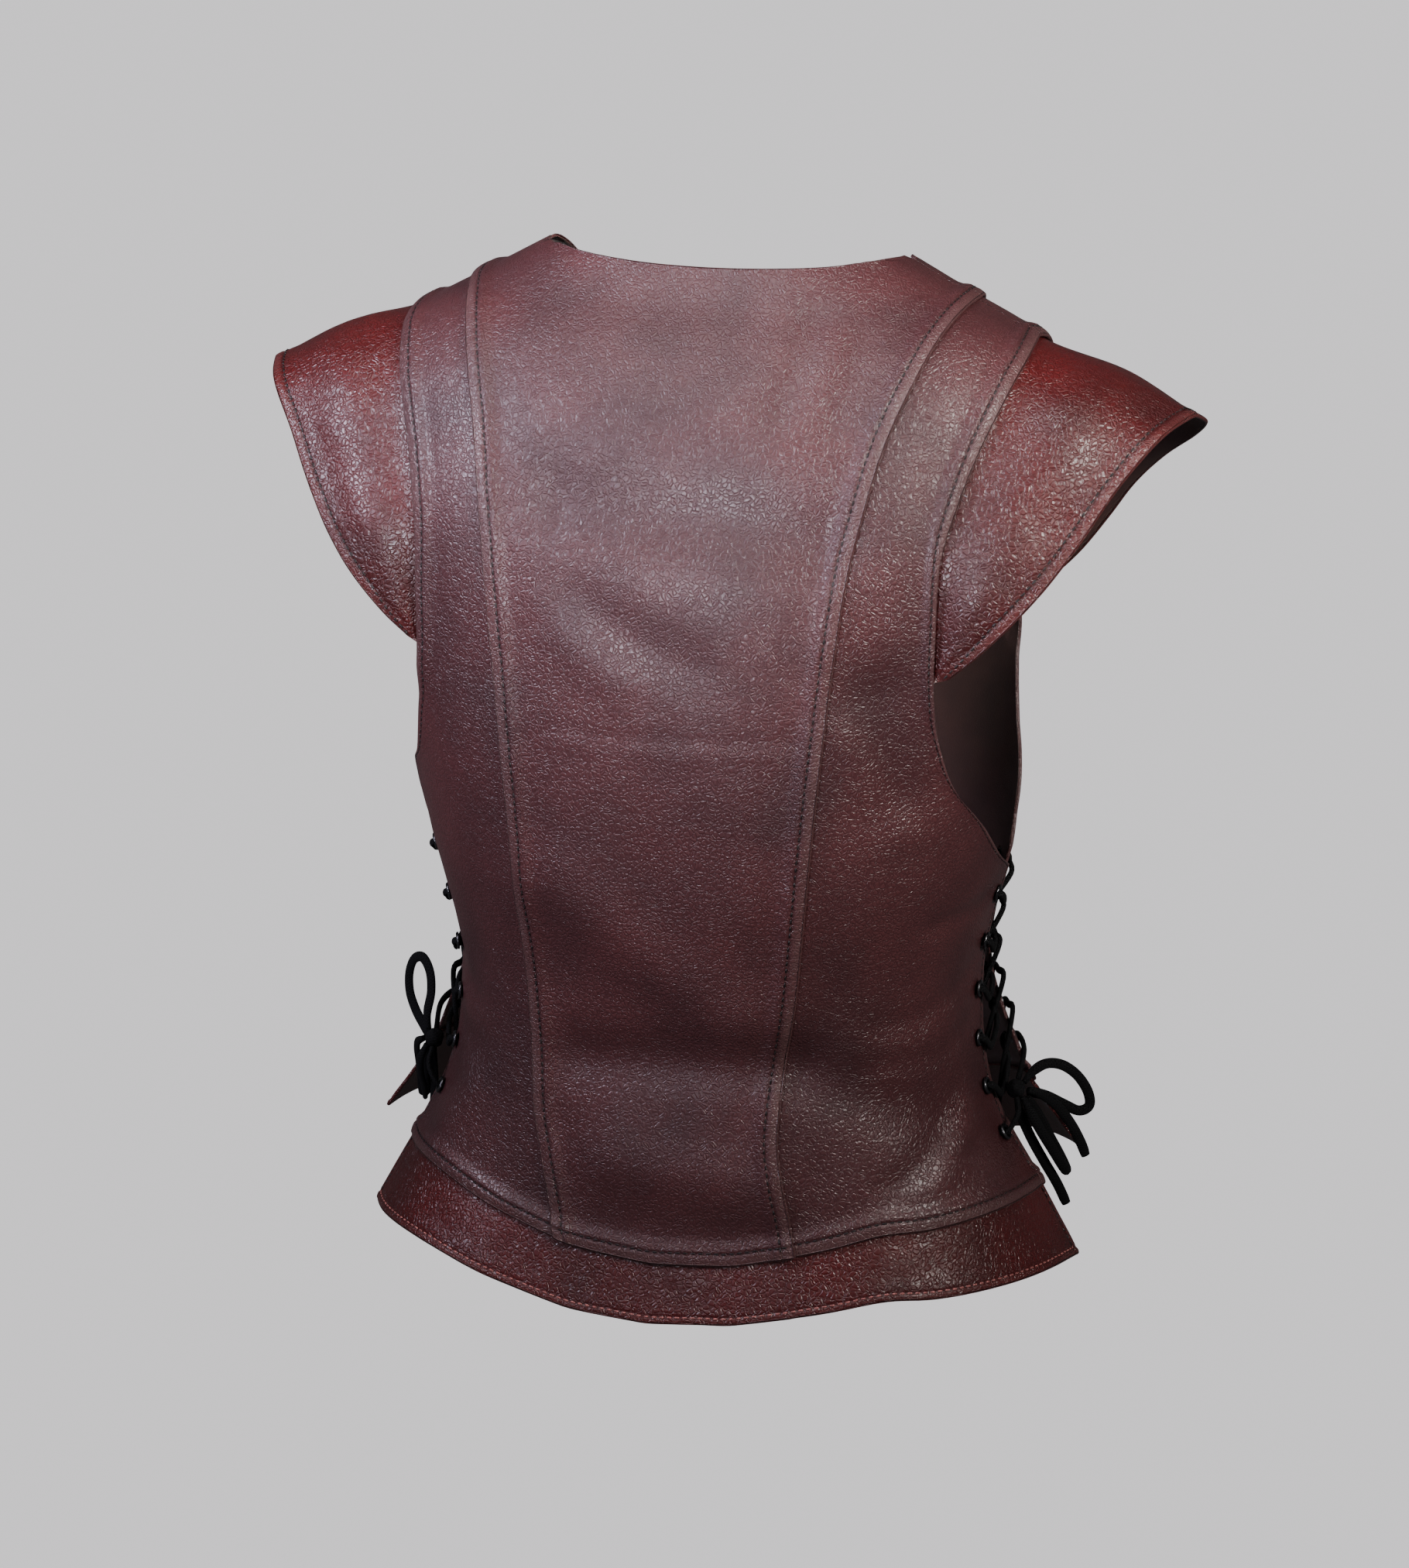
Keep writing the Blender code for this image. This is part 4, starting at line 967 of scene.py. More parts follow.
class Finishes:
    """The doublet's materials, made once."""

    def __init__(self) -> None:
        """Makes them all."""
        self.maroon = Leather(
            name="satin maroon cow leather", dye="#4e292b", deep="#371a1d", worn="#604645",
            pebble=2.1 * MM, relief=0.18 * MM, roughness=0.43, coat=0.22, coat_roughness=0.29,
        ).make()
        self.red = Leather(
            name="glazed red cow leather", dye="#541314", deep="#360a0b", worn="#673533",
            pebble=2.3 * MM, relief=0.23 * MM, roughness=0.42, coat=0.34, coat_roughness=0.25,
        ).make()
        self.flesh = FleshSide().make()
        self.dark_thread = Thread("dark thread", "#150708").make()
        self.pink_thread = Thread("pink thread", "#b56f6a").make()
        self.eyelet = GunmetalEyelet().make()
        self.cord = BlackCord().make()


# Meshes

def link_mesh(
    name: str, vertices: Array, faces: Array | list, materials: Sequence[bpy.types.Material]
) -> bpy.types.Object:
    """Makes a smooth-shaded object from vertices and faces of four (or three) corners."""
    mesh = bpy.data.meshes.new(name)
    corners = faces.tolist() if isinstance(faces, Array) else faces
    mesh.from_pydata(vertices.reshape(-1, 3).tolist(), [], corners)
    mesh.shade_smooth()
    for material in materials:
        mesh.materials.append(material)
    made = bpy.data.objects.new(name, mesh)
    bpy.context.scene.collection.objects.link(made)
    return made


def grid_faces(rows: int, columns: int, first: int = 0, closed: bool = False) -> Array:
    """Gives the four-cornered faces of a grid of vertices, closed round its columns if asked."""
    index = np.arange(rows * columns).reshape(rows, columns) + first
    if closed:
        index = np.concatenate([index, index[:, :1]], axis=1)
    corners = (index[:-1, :-1], index[:-1, 1:], index[1:, 1:], index[1:, :-1])
    return np.stack(corners, axis=-1).reshape(-1, 4)


def stand_for(piece: bpy.types.Object, node: str) -> None:
    """Puts a piece on the frame in place of a solid."""
    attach(piece, "root")
    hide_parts(node)


def rim_loop(grid: Array) -> Array:
    """Reads a grid's outer points once round."""
    return np.concatenate([grid[:-1, 0], grid[-1, :-1], grid[:0:-1, -1], grid[0, :0:-1]])


ROLL_ANGLES = np.radians((35.0, 70.0, 110.0, 145.0))


def shell(name: str, inner: Array, outer: Array, materials: Sequence[bpy.types.Material]) -> bpy.types.Object:
    """Closes a flesh side and a grain side into a shell whose edges are rolled round.

    Between the two sides each edge point turns on a half circle: middle + cos(a) * half thickness
    + sin(a) * half thickness outwards from the edge, for angles a from grain side to flesh side.

    Args:
        name: the piece's name.
        inner: the flesh side's grid.
        outer: the grain side's grid.
        materials: the grain side's and the flesh side's finish.

    Returns:
        The piece.
    """
    rows, columns = inner.shape[:2]
    index = np.arange(rows * columns).reshape(rows, columns)
    loop = rim_loop(index[..., None])[:, 0]
    away = np.zeros_like(outer)
    away[:, 0] += unit(outer[:, 0] - outer[:, 1])
    away[:, -1] += unit(outer[:, -1] - outer[:, -2])
    away[0] += unit(outer[0] - outer[1])
    away[-1] += unit(outer[-1] - outer[-2])
    a, b = outer.reshape(-1, 3)[loop], inner.reshape(-1, 3)[loop]
    half = 0.5 * (a - b)
    direction = away.reshape(-1, 3)[loop]
    along = unit(half)
    direction = unit(direction - along * np.sum(direction * along, axis=1, keepdims=True))
    size = np.linalg.norm(half, axis=1, keepdims=True)
    rings = np.stack([
        0.5 * (a + b) + half * math.cos(turn) + direction * size * math.sin(turn) for turn in ROLL_ANGLES
    ])
    vertices = np.concatenate([outer.reshape(-1, 3), inner.reshape(-1, 3), rings.reshape(-1, 3)])
    total = rows * columns
    ring_index = np.arange(rings.shape[0] * rings.shape[1]).reshape(rings.shape[:2]) + 2 * total
    bands = np.concatenate([loop[None], ring_index, loop[None] + total])
    bands = np.concatenate([bands, bands[:, :1]], axis=1)
    rim = np.stack((bands[:-1, :-1], bands[:-1, 1:], bands[1:, 1:], bands[1:, :-1]), axis=-1).reshape(-1, 4)
    top = grid_faces(rows, columns)
    under = grid_faces(rows, columns, total)[:, ::-1]
    facing = np.cross(outer[1:, :-1] - outer[:-1, :-1], outer[:-1, 1:] - outer[:-1, :-1])
    if np.sum(facing * (outer - inner)[:-1, :-1]) > 0.0:
        top, under = top[:, ::-1], under[:, ::-1]
    else:
        rim = rim[:, ::-1]
    made = link_mesh(name, vertices, np.concatenate([top, rim, under]), materials)
    slots = np.zeros(len(top) + len(rim) + len(under), np.int32)
    slots[len(top) + len(rim) :] = 1
    made.data.polygons.foreach_set("material_index", slots)
    return made


def paint(piece: bpy.types.Object, name: str, outer: Array, rim: float) -> None:
    """Stores a value at each grain-side point, and one value for the rolled edge and the flesh side."""
    values = np.full(len(piece.data.vertices), rim, np.float32)
    flat = outer.ravel()
    values[: len(flat)] = flat
    attribute = piece.data.attributes.new(name, "FLOAT", "POINT")
    attribute.data.foreach_set("value", values)


@dataclass(frozen=True)
class Stitching:
    """Topstitching: one short round-ended bead of thread for each stitch.

    Attributes:
        pitch: distance from stitch to stitch.
        length: length of the thread that shows.
        radius: radius of the thread.
        sides: faces round the thread.
        proud: share of the radius by which the thread's middle stands over the groove.
    """

    pitch: float = 3.9 * MM
    length: float = 2.4 * MM
    radius: float = 0.50 * MM
    sides: int = 6
    proud: float = 0.35

    def bead(self) -> tuple[Array, list[list[int]]]:
        """A stitch along X: rings whose radius follows a half sine raised to a small power."""
        stations = np.array((-1.0, -0.8, -0.35, 0.35, 0.8, 1.0))
        swell = np.array((0.35, 0.8, 1.0, 1.0, 0.8, 0.35))
        turn = np.arange(self.sides) * math.tau / self.sides
        rings = np.stack([
            np.repeat(stations[:, None] * self.length / 2, self.sides, axis=1),
            self.radius * swell[:, None] * np.cos(turn),
            self.radius * swell[:, None] * np.sin(turn),
        ], axis=-1)
        faces = grid_faces(len(stations), self.sides, closed=True).tolist()
        last = (len(stations) - 1) * self.sides
        faces.append(list(range(self.sides - 1, -1, -1)))
        faces.append([last + k for k in range(self.sides)])
        return rings.reshape(-1, 3), faces

    def sew(
        self, name: str, paths: Sequence[tuple[Array, Array, float, float]], material: bpy.types.Material
    ) -> bpy.types.Object:
        """Lays beads along paths.

        Args:
            name: the piece's name.
            paths: points, outward directions, and the lengths left bare at the start and the end.
            material: the thread's finish.

        Returns:
            One object with all the stitches.
        """
        bead, faces = self.bead()
        vertices, all_faces, count = [], [], 0
        for points, outs, start, stop in paths:
            run = lengths_along(points)
            middles = np.arange(start + self.pitch / 2, run[-1] - stop, self.pitch)
            centre = points_at(points, middles)
            along = unit(points_at(points, middles + 0.4 * MM) - points_at(points, middles - 0.4 * MM))
            out = unit(read_at(run, outs, middles))
            across = unit(np.cross(out, along))
            out = np.cross(along, across)
            axes = np.stack([along, across, out], axis=1)
            turned = np.einsum("vk,nkd->nvd", bead, axes)
            placed = turned + centre[:, None] + out[:, None] * self.radius * self.proud
            vertices.append(placed.reshape(-1, 3))
            for k in range(len(middles)):
                shift = count + k * len(bead)
                all_faces += [[v + shift for v in face] for face in faces]
            count += len(middles) * len(bead)
        return link_mesh(name, np.concatenate(vertices), all_faces, [material])


STITCHING = Stitching()

# Puckers beside a seam: their height, their size, and where they are strongest and how far they reach
PUCKER_HEIGHT = 0.22 * MM
PUCKER_CELL = 9.0 * MM
PUCKER_PLACE = 8.0 * MM
PUCKER_REACH = 9.0 * MM

# The painted shade, read from the relief: the crease height that counts as 1, and how much painted shade a
# stitching line adds
RELIEF_UNIT = 2.0 * MM
SEAM_PAINTED_SHADE = 1.6


@dataclass
class LeatherPiece:
    """A cut piece of leather with its folded edges and its stitches.

    Attributes:
        node: the solid it stands for.
        cloth: its grid.
        turned: its folded edges.
        rows: its stitch rows.
        slot: the material slot; not used.
        flat: width and length of the cut, in metres; not used.
        area: the cut's area, in square metres; not used.
        held: how it hangs; not used.
    """

    node: str
    cloth: Cloth
    turned: dict[Edge, TurnedEdge]
    rows: tuple[StitchRow, ...]
    slot: str
    flat: tuple[float, float]
    area: float
    held: str = "stretched"

    def grain_side(self) -> Array:
        """Gives the grain side: the flesh side plus leather, turnings and fine puckers by the seams."""
        height = np.full(self.cloth.lift.shape, LEATHER)
        window = np.zeros_like(height)
        grooves = np.zeros_like(height)
        for edge, work in self.turned.items():
            distance = self.cloth.distance(edge)
            height = np.maximum(height, LEATHER + work.heights(distance))
            grooves += work.pull(distance)
            window = np.maximum(window, np.exp(-(((distance - PUCKER_PLACE) / PUCKER_REACH) ** 2)))
        height += PUCKER_HEIGHT * window * soft_noise(self.cloth.place, PUCKER_CELL, 3.3) - grooves
        return self.cloth.place + self.cloth.out * (self.cloth.lift + height)[..., None]

    def seam_shade(self) -> Array:
        """Gives the strongest of the lines of painted shade along the piece's stitching."""
        return np.max([work.shade(self.cloth.distance(edge)) for edge, work in self.turned.items()], axis=0)

    def wear(self) -> Array:
        """Gives how rubbed each point is: most on the folds' rounds, with a slow unevenness."""
        total = np.zeros(self.cloth.lift.shape)
        for edge, work in self.turned.items():
            distance = self.cloth.distance(edge)
            total = np.maximum(total, np.exp(-((distance / (0.75 * work.stitch_in)) ** 4)))
        return total * (0.36 + 0.2 * soft_noise(self.cloth.place, 0.02, 9.2))

    def build(self, finish: bpy.types.Material, flesh: bpy.types.Material) -> bpy.types.Object:
        inner = self.cloth.place + self.cloth.out * self.cloth.lift[..., None]
        piece = shell(f"{self.node}_leather", inner, self.grain_side(), [finish, flesh])
        # Painted shade: crease troughs and the lines along the stitching are stored here and darkened by the
        # finish.
        paint(piece, "relief", self.cloth.relief / RELIEF_UNIT - SEAM_PAINTED_SHADE * self.seam_shade(), 0.0)
        paint(piece, "wear", self.wear(), 0.3)
        return piece

    def declare(self, piece: bpy.types.Object, stitches: Sequence[bpy.types.Object]) -> None:
        """Puts the finished shell and its stitches on the frame."""
        stand_for(piece, self.node)
        for stitch in stitches:
            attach(stitch, "root")
        LOG.info("%s: %d faces", piece.name, len(piece.data.polygons))

    def stitches(self, material: bpy.types.Material, edges: Iterable[Edge] = tuple(Edge)) -> bpy.types.Object:
        """Sews the rows that follow the given edges."""
        surface = self.grain_side()
        paths = []
        for row in self.rows:
            if row.edge in edges:
                points, outs = row_path(surface, self.cloth, row)
                paths.append((points, outs, row.start, row.stop))
        label = "_".join(edge.name.lower() for edge in edges if edge in {row.edge for row in self.rows})
        return STITCHING.sew(f"{self.node}_stitches_{label}", paths, material)


# Body panels

@dataclass
class Body:
    """The six body panels of maroon leather."""

    finishes: Finishes
    centres: dict[Face, Cloth] = field(default_factory=dict)
    sides: dict[tuple[Face, Side], Cloth] = field(default_factory=dict)

    def centre_cloth(self, face: Face) -> Cloth:
        """Centre panel between the princess seams; its side edges lap over the side panels."""
        cut = CUTS[face]
        left, right = rows_of(cut.princess_lines(Side.LEFT)), rows_of(cut.princess_lines(Side.RIGHT))
        rows = cut.form.settle(blended_rows(left, right, cut.centre_hem(), cut.neck_top_line()), 5)
        base = cut.form.settle(spread_columns(rows, EDGE_STEPS, 40, EDGE_STEPS))
        base[:, 0], base[:, -1] = left, right
        bare = flat_cloth(base)
        lift = sum(lap_lift(bare.distance(edge)) for edge in (Edge.FIRST, Edge.LAST, Edge.LOW))
        return creased(face, base, lift)

    def side_cloth(self, face: Face, side: Side) -> Cloth:
        """Side panel from under the centre panel's edge to the armhole and the side opening."""
        cut = CUTS[face]
        inner, outer = rows_of(cut.princess_lines(side)), rows_of(cut.outer_lines(side))
        rows = blended_rows(inner, outer, cut.hem_line(side), cut.shoulder_line(side))
        rows = cut.form.settle(rows, 5)
        base = spread_columns(rows, PLAIN_STEPS, 20, EDGE_STEPS)
        base[:, 0], base[:, -1] = inner, outer
        hidden = self.centres[face]
        column = int(np.argmin(np.abs(EDGE_STEPS - TUCKED)))
        column = column if side is Side.LEFT else -1 - column
        tucked = cut.form.settle(hidden.place[:, column], 4)
        base = np.concatenate([tucked[:, None], 0.5 * (tucked + inner)[:, None], base], axis=1)
        bare = flat_cloth(base)
        over_wing = smooth_step(WING_TIP_HEIGHT - 0.030, WING_TIP_HEIGHT - 0.010, base[:, -1:, 2])
        lift = lap_lift(bare.distance(Edge.LOW)) + lap_lift(bare.distance(Edge.LAST)) * over_wing
        return creased(face, base, lift)

    def build(self) -> None:
        """Makes the six panels with their stitches and eyelet holes."""
        for face in Face:
            self.centres[face] = self.centre_cloth(face)
            for side in Side:
                self.sides[face, side] = self.side_cloth(face, side)
        for face in Face:
            self.build_centre(face)
            for side in Side:
                self.build_side(face, side)

    def build_centre(self, face: Face) -> None:
        """Makes a centre panel."""
        turned = {edge: TurnedEdge() for edge in (Edge.FIRST, Edge.LAST, Edge.LOW)}
        rows = tuple(StitchRow(edge, work.stitch_in) for edge, work in turned.items())
        panel = LeatherPiece(
            f"{face.name.lower()}_centre", self.centres[face], turned, rows, "maroon_leather",
            flat=(0.27, 0.53), area=0.098,
        )
        piece = panel.build(self.finishes.maroon, self.finishes.flesh)
        panel.declare(piece, [panel.stitches(self.finishes.dark_thread)])

    def build_side(self, face: Face, side: Side) -> None:
        """Makes a side panel and cuts its eyelet holes."""
        turned = {edge: TurnedEdge() for edge in (Edge.LAST, Edge.LOW)}
        rows = (
            StitchRow(Edge.LAST, TurnedEdge().stitch_in, 8.0 * MM, 2.0 * MM),
            StitchRow(Edge.LOW, TurnedEdge().stitch_in, 8.0 * MM, 6.0 * MM),
        )
        name = f"{face.name.lower()}_side_{side.name.lower()}"
        panel = LeatherPiece(
            name, self.sides[face, side], turned, rows, "maroon_leather", flat=(0.13, 0.53), area=0.046
        )
        piece = panel.build(self.finishes.maroon, self.finishes.flesh)
        cut_eyelet_holes(piece, [EyeletSeat.of_node(n) for n in eyelet_nodes(face, side)])
        panel.declare(piece, [panel.stitches(self.finishes.dark_thread)])


# Shoulder wings and hem bands

WING_TIP_HEIGHT = -0.187

# Outer edge of the wearer's left wing, from its point at the armhole to the shoulder
WING_EDGE = {
    Face.BACK: in_mm(
        Place,
        (132, 86, -186.5), (147, 87, -173.5), (163.5, 84.5, -156.5), (178, 77.5, -139), (192, 66.8, -118),
        (206, 53.5, -94.5), (221.5, 36, -74.5), (231.5, 9, -68.5), (233.5, -5, -71),
    ),
    Face.FRONT: in_mm(
        Place,
        (133.5, -80.5, -186.5), (147, -82, -174.5), (163, -79, -158), (178, -74, -138), (192, -66.5, -118),
        (208, -55.5, -101), (225, -40, -87), (234, -20, -76.5), (233.5, -5, -71),
    ),
}


@dataclass
class ShoulderWing:
    """A red wing over the top of the arm, from under the armhole edges out.

    Attributes:
        side: the wearer's side.
        clear: gap between the armhole edge's turning and the wing's own surface.
        bulge: how far the wing is rounded up between root and edge.
    """

    side: Side
    body: Body
    finishes: Finishes
    clear: float = 1.5 * MM
    bulge: float = 4.0 * MM
    rows_each: int = 62

    def root_rows(self, face: Face) -> tuple[Array, Array, Array]:
        """Reads the armhole above the wing's point, evenly: hidden places, edge places and directions."""
        panel = self.body.sides[face, self.side]
        heights = panel.place[:, -1, 2]
        first = int(np.argmax(heights > WING_TIP_HEIGHT))
        hidden_column = len(EDGE_STEPS) - 1 - int(np.argmin(np.abs(EDGE_STEPS[::-1] - TUCKED)))
        edge, out = panel.place[first:, -1], panel.out[first:, -1]
        hidden = panel.place[first:, -1 - hidden_column]
        run = lengths_along(edge)
        even = np.linspace(0.0, run[-1], self.rows_each)
        hidden, edge, out = (read_at(run, values, even) for values in (hidden, edge, out))
        return hidden, edge, unit(out)

    def cloth(self) -> Cloth:
        """Builds the grid: root plus the way to the outer edge, bulged by sin^2 of that way's share."""
        halves = []
        for face in Face:
            hidden, edge, out = self.root_rows(face)
            beyond = unit(edge - hidden) * self.clear
            outline = smooth_line(WING_EDGE[face])
            root = edge + beyond
            run = lengths_along(root)
            rim = sampled(outline * mirror_x(self.side), run / run[-1])
            rim[0] = root[0] + beyond[0]
            halves.append([hidden, root, out, rim])
        hidden, root, root_out, rim = (np.concatenate([b, f[-2::-1]]) for b, f in zip(*halves))
        across = rim - root
        width = np.linalg.norm(across, axis=1)
        own = np.cross(np.gradient(root + 0.5 * across, axis=0), across)
        own = unit(own)
        own *= np.sign(np.sum(own * root_out, axis=1))[:, None]
        own = unit(0.25 * (np.roll(own, 1, 0) + np.roll(own, -1, 0)) + 0.5 * own)
        fit = np.minimum(1.0, width / (2.2 * EDGE_STEPS[-1]))
        edge_share = 1.0 - EDGE_STEPS[::-1][None] * fit[:, None] / np.maximum(width, 1e-6)[:, None]
        even = np.linspace(0.0, 1.0, 22)[None, :-1] * edge_share[:, :1]
        shares = np.concatenate([even, edge_share], axis=1)
        size = np.clip(width / 0.05, 0.0, 1.0)[:, None]
        lift = self.bulge * np.sin(math.pi * shares) ** 2 * size
        lift = lift + size * 0.8 * MM * np.sin(math.pi * shares) * soft_noise(
            root[:, None] + across[:, None] * shares[..., None], 0.022, 4.4
        )
        place = root[:, None] + across[:, None] * shares[..., None] + own[:, None] * lift[..., None]
        turn = np.clip(shares * 2.0, 0.0, 1.0)[..., None]
        out = unit(root_out[:, None] * (1.0 - turn) + own[:, None] * turn)
        place = np.concatenate([hidden[:, None], 0.5 * (hidden + root)[:, None], place], axis=1)
        out = np.concatenate([root_out[:, None], root_out[:, None], out], axis=1)
        zero = np.zeros(place.shape[:2])
        return Cloth(place, out, zero, zero)

    def build(self) -> None:
        """Makes the wing and its stitches."""
        turned = {Edge.LAST: TurnedEdge(stitch_in=5.1 * MM, depth=12.0 * MM)}
        rows = (StitchRow(Edge.LAST, 5.1 * MM, 6.0 * MM, 6.0 * MM),)
        wing = LeatherPiece(
            f"wing_{self.side.name.lower()}", self.cloth(), turned, rows, "red_leather",
            flat=(0.11, 0.36), area=0.024, held="draped",
        )
        piece = wing.build(self.finishes.red, self.finishes.flesh)
        wing.declare(piece, [wing.stitches(self.finishes.dark_thread)])


@dataclass
class HemBand:
    """A red band from under the body panels' lower edge down and out.

    Attributes:
        face: back or front.
        drop: how far it falls, at the centre and at the ends.
        flare: how far it stands out, at the centre and at the ends.
    """

    face: Face
    body: Body
    finishes: Finishes
    drop: tuple[float, float]
    flare: tuple[float, float]
    stitch_in: float = 3.0 * MM
    end_stitch_in: float = 5.1 * MM

    def cloth(self) -> Cloth:
        """Builds the grid: the hem seam plus a share of the fall, which grows towards the ends as the
        distance from the middle to the power 1.5."""
        left, right = (self.body.sides[self.face, side] for side in Side)
        centre = self.body.centres[self.face]
        row = int(np.argmin(np.abs(EDGE_STEPS - TUCKED)))
        lines = []
        for index in (row, 0):
            places = np.concatenate([left.place[index, :2:-1], centre.place[index], right.place[index, 3:]])
            outs = np.concatenate([left.out[index, :2:-1], centre.out[index], right.out[index, 3:]])
            run = lengths_along(places)
            total = run[-1]
            even = np.linspace(EDGE_STEPS[-1], total - EDGE_STEPS[-1], 110)[1:-1]
            at = np.concatenate([EDGE_STEPS, even, total - EDGE_STEPS[::-1]])
            lines.append([read_at(run, values, at) for values in (places, outs)])
        (hidden, hidden_out), (seam, seam_out) = lines
        run = lengths_along(seam)
        outer_share = np.abs(2.0 * run / run[-1] - 1.0) ** 1.5
        level = unit(seam_out * np.array((1.0, 1.0, 0.0)))
        drop = self.drop[0] + (self.drop[1] - self.drop[0]) * outer_share
        flare = self.flare[0] + (self.flare[1] - self.flare[0]) * outer_share
        fall = level * flare[:, None] - np.array((0.0, 0.0, 1.0)) * drop[:, None]
        length = float(np.mean(np.linalg.norm(fall, axis=1)))
        near_edge = 1.0 - EDGE_STEPS[-5::-1] / length
        steps = np.concatenate([np.linspace(0.0, 1.0 - EDGE_STEPS[-5] / length, 9)[:-1], near_edge])
        wave = 1.2 * MM * soft_noise(seam, 0.05, 8.8)
        slanted = np.cross(np.gradient(seam, axis=0), fall)
        slanted = unit(slanted)
        slanted *= np.sign(np.sum(slanted * level, axis=1))[:, None]
        bent = np.sin(0.5 * math.pi * steps)[:, None, None] * wave[:, None]
        place = seam + fall * steps[:, None, None] + slanted * bent
        turn = np.clip(steps / 0.25, 0.0, 1.0)[:, None, None]
        out = unit(seam_out * (1.0 - turn) + slanted * turn)
        place = np.concatenate([hidden[None], 0.5 * (hidden + seam)[None], place])
        out = np.concatenate([unit(hidden_out)[None], unit(hidden_out + seam_out)[None], out])
        zero = np.zeros(place.shape[:2])
        return Cloth(place, out, zero, zero)

    def build(self) -> None:
        """Makes the band and its stitches."""
        turned = {
            Edge.FIRST: TurnedEdge(stitch_in=self.end_stitch_in, depth=12.0 * MM),
            Edge.LAST: TurnedEdge(stitch_in=self.end_stitch_in, depth=12.0 * MM),
            Edge.HIGH: TurnedEdge(stitch_in=self.stitch_in, depth=9.0 * MM, puff=0.25 * MM),
        }
        rows = (
            StitchRow(Edge.HIGH, self.stitch_in, 3.0 * MM, 3.0 * MM),
            StitchRow(Edge.FIRST, self.end_stitch_in, 8.0 * MM, 4.0 * MM),
            StitchRow(Edge.LAST, self.end_stitch_in, 8.0 * MM, 4.0 * MM),
        )
        name = f"hem_band_{self.face.name.lower()}"
        band = LeatherPiece(
            name, self.cloth(), turned, rows, "red_leather", flat=(0.48, 0.056), area=0.021, held="draped"
        )
        piece = band.build(self.finishes.red, self.finishes.flesh)
        low = band.stitches(self.finishes.pink_thread, (Edge.HIGH,))
        ends = band.stitches(self.finishes.dark_thread, (Edge.FIRST, Edge.LAST))
        band.declare(piece, [low, ends])


# Eyelets

# Height of an eyelet solid's mean point over the flesh side, and the radius of its hole in the leather
EYELET_MEAN_HEIGHT = 1.27 * MM
EYELET_HOLE = 3.0 * MM


def eyelet_nodes(face: Face, side: Side) -> list[str]:
    """Names one edge's eyelets, top first."""
    return [f"eyelet_{face.name.lower()}_{side.name.lower()}_{k}" for k in range(1, EYELETS + 1)]


@dataclass(frozen=True)
class EyeletSeat:
    """Where an eyelet sits: the point on the flesh side and the outward direction."""

    centre: Array
    out: Array

    @classmethod
    def of_node(cls, node: str) -> "EyeletSeat":
        """Reads a seat from its solid: the mean of its points and their thinnest direction."""
        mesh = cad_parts[node].data
        points = np.zeros(len(mesh.vertices) * 3)
        mesh.vertices.foreach_get("co", points)
        points = np.unique(points.reshape(-1, 3).round(6), axis=0)
        middle = points.mean(axis=0)
        thin = np.linalg.svd(points - middle)[2][2]
        thin *= np.sign(thin @ (middle * np.array((1.0, 1.0, 0.0))))
        return cls(middle - thin * EYELET_MEAN_HEIGHT, thin)

    def axes(self, along: Array) -> tuple[Array, Array]:
        """Gives two directions across the eyelet, the first close to along."""
        first = unit(along - self.out * (along @ self.out))
        return first, np.cross(self.out, first)


def cut_eyelet_holes(piece: bpy.types.Object, seats: Sequence[EyeletSeat]) -> None:
    """Cuts round holes through a panel with one cutter of separate pins, and applies the cut."""
    sides = 20
    turn = np.arange(sides) * math.tau / sides
    pins, faces = [], []
    for k, seat in enumerate(seats):
        first, second = seat.axes(np.array((0.0, 0.0, 1.0)))
        ring = seat.centre + EYELET_HOLE * (np.cos(turn)[:, None] * first + np.sin(turn)[:, None] * second)
        pins.append(np.concatenate([ring - seat.out * 6 * MM, ring + seat.out * 9 * MM]))
        start = 2 * sides * k
        faces += grid_faces(2, sides, start, closed=True).tolist()
        faces.append([start + j for j in range(sides - 1, -1, -1)])
        faces.append([start + sides + j for j in range(sides)])
    cutter = link_mesh("eyelet_pins", np.concatenate(pins), faces, [])
    cut = piece.modifiers.new("eyelet holes", "BOOLEAN")
    cut.operation = "DIFFERENCE"
    cut.solver = "EXACT"
    cut.object = cutter
    graph = bpy.context.evaluated_depsgraph_get()
    mesh = bpy.data.meshes.new_from_object(piece.evaluated_get(graph))
    piece.modifiers.clear()
    piece.data = mesh
    bpy.data.objects.remove(cutter)


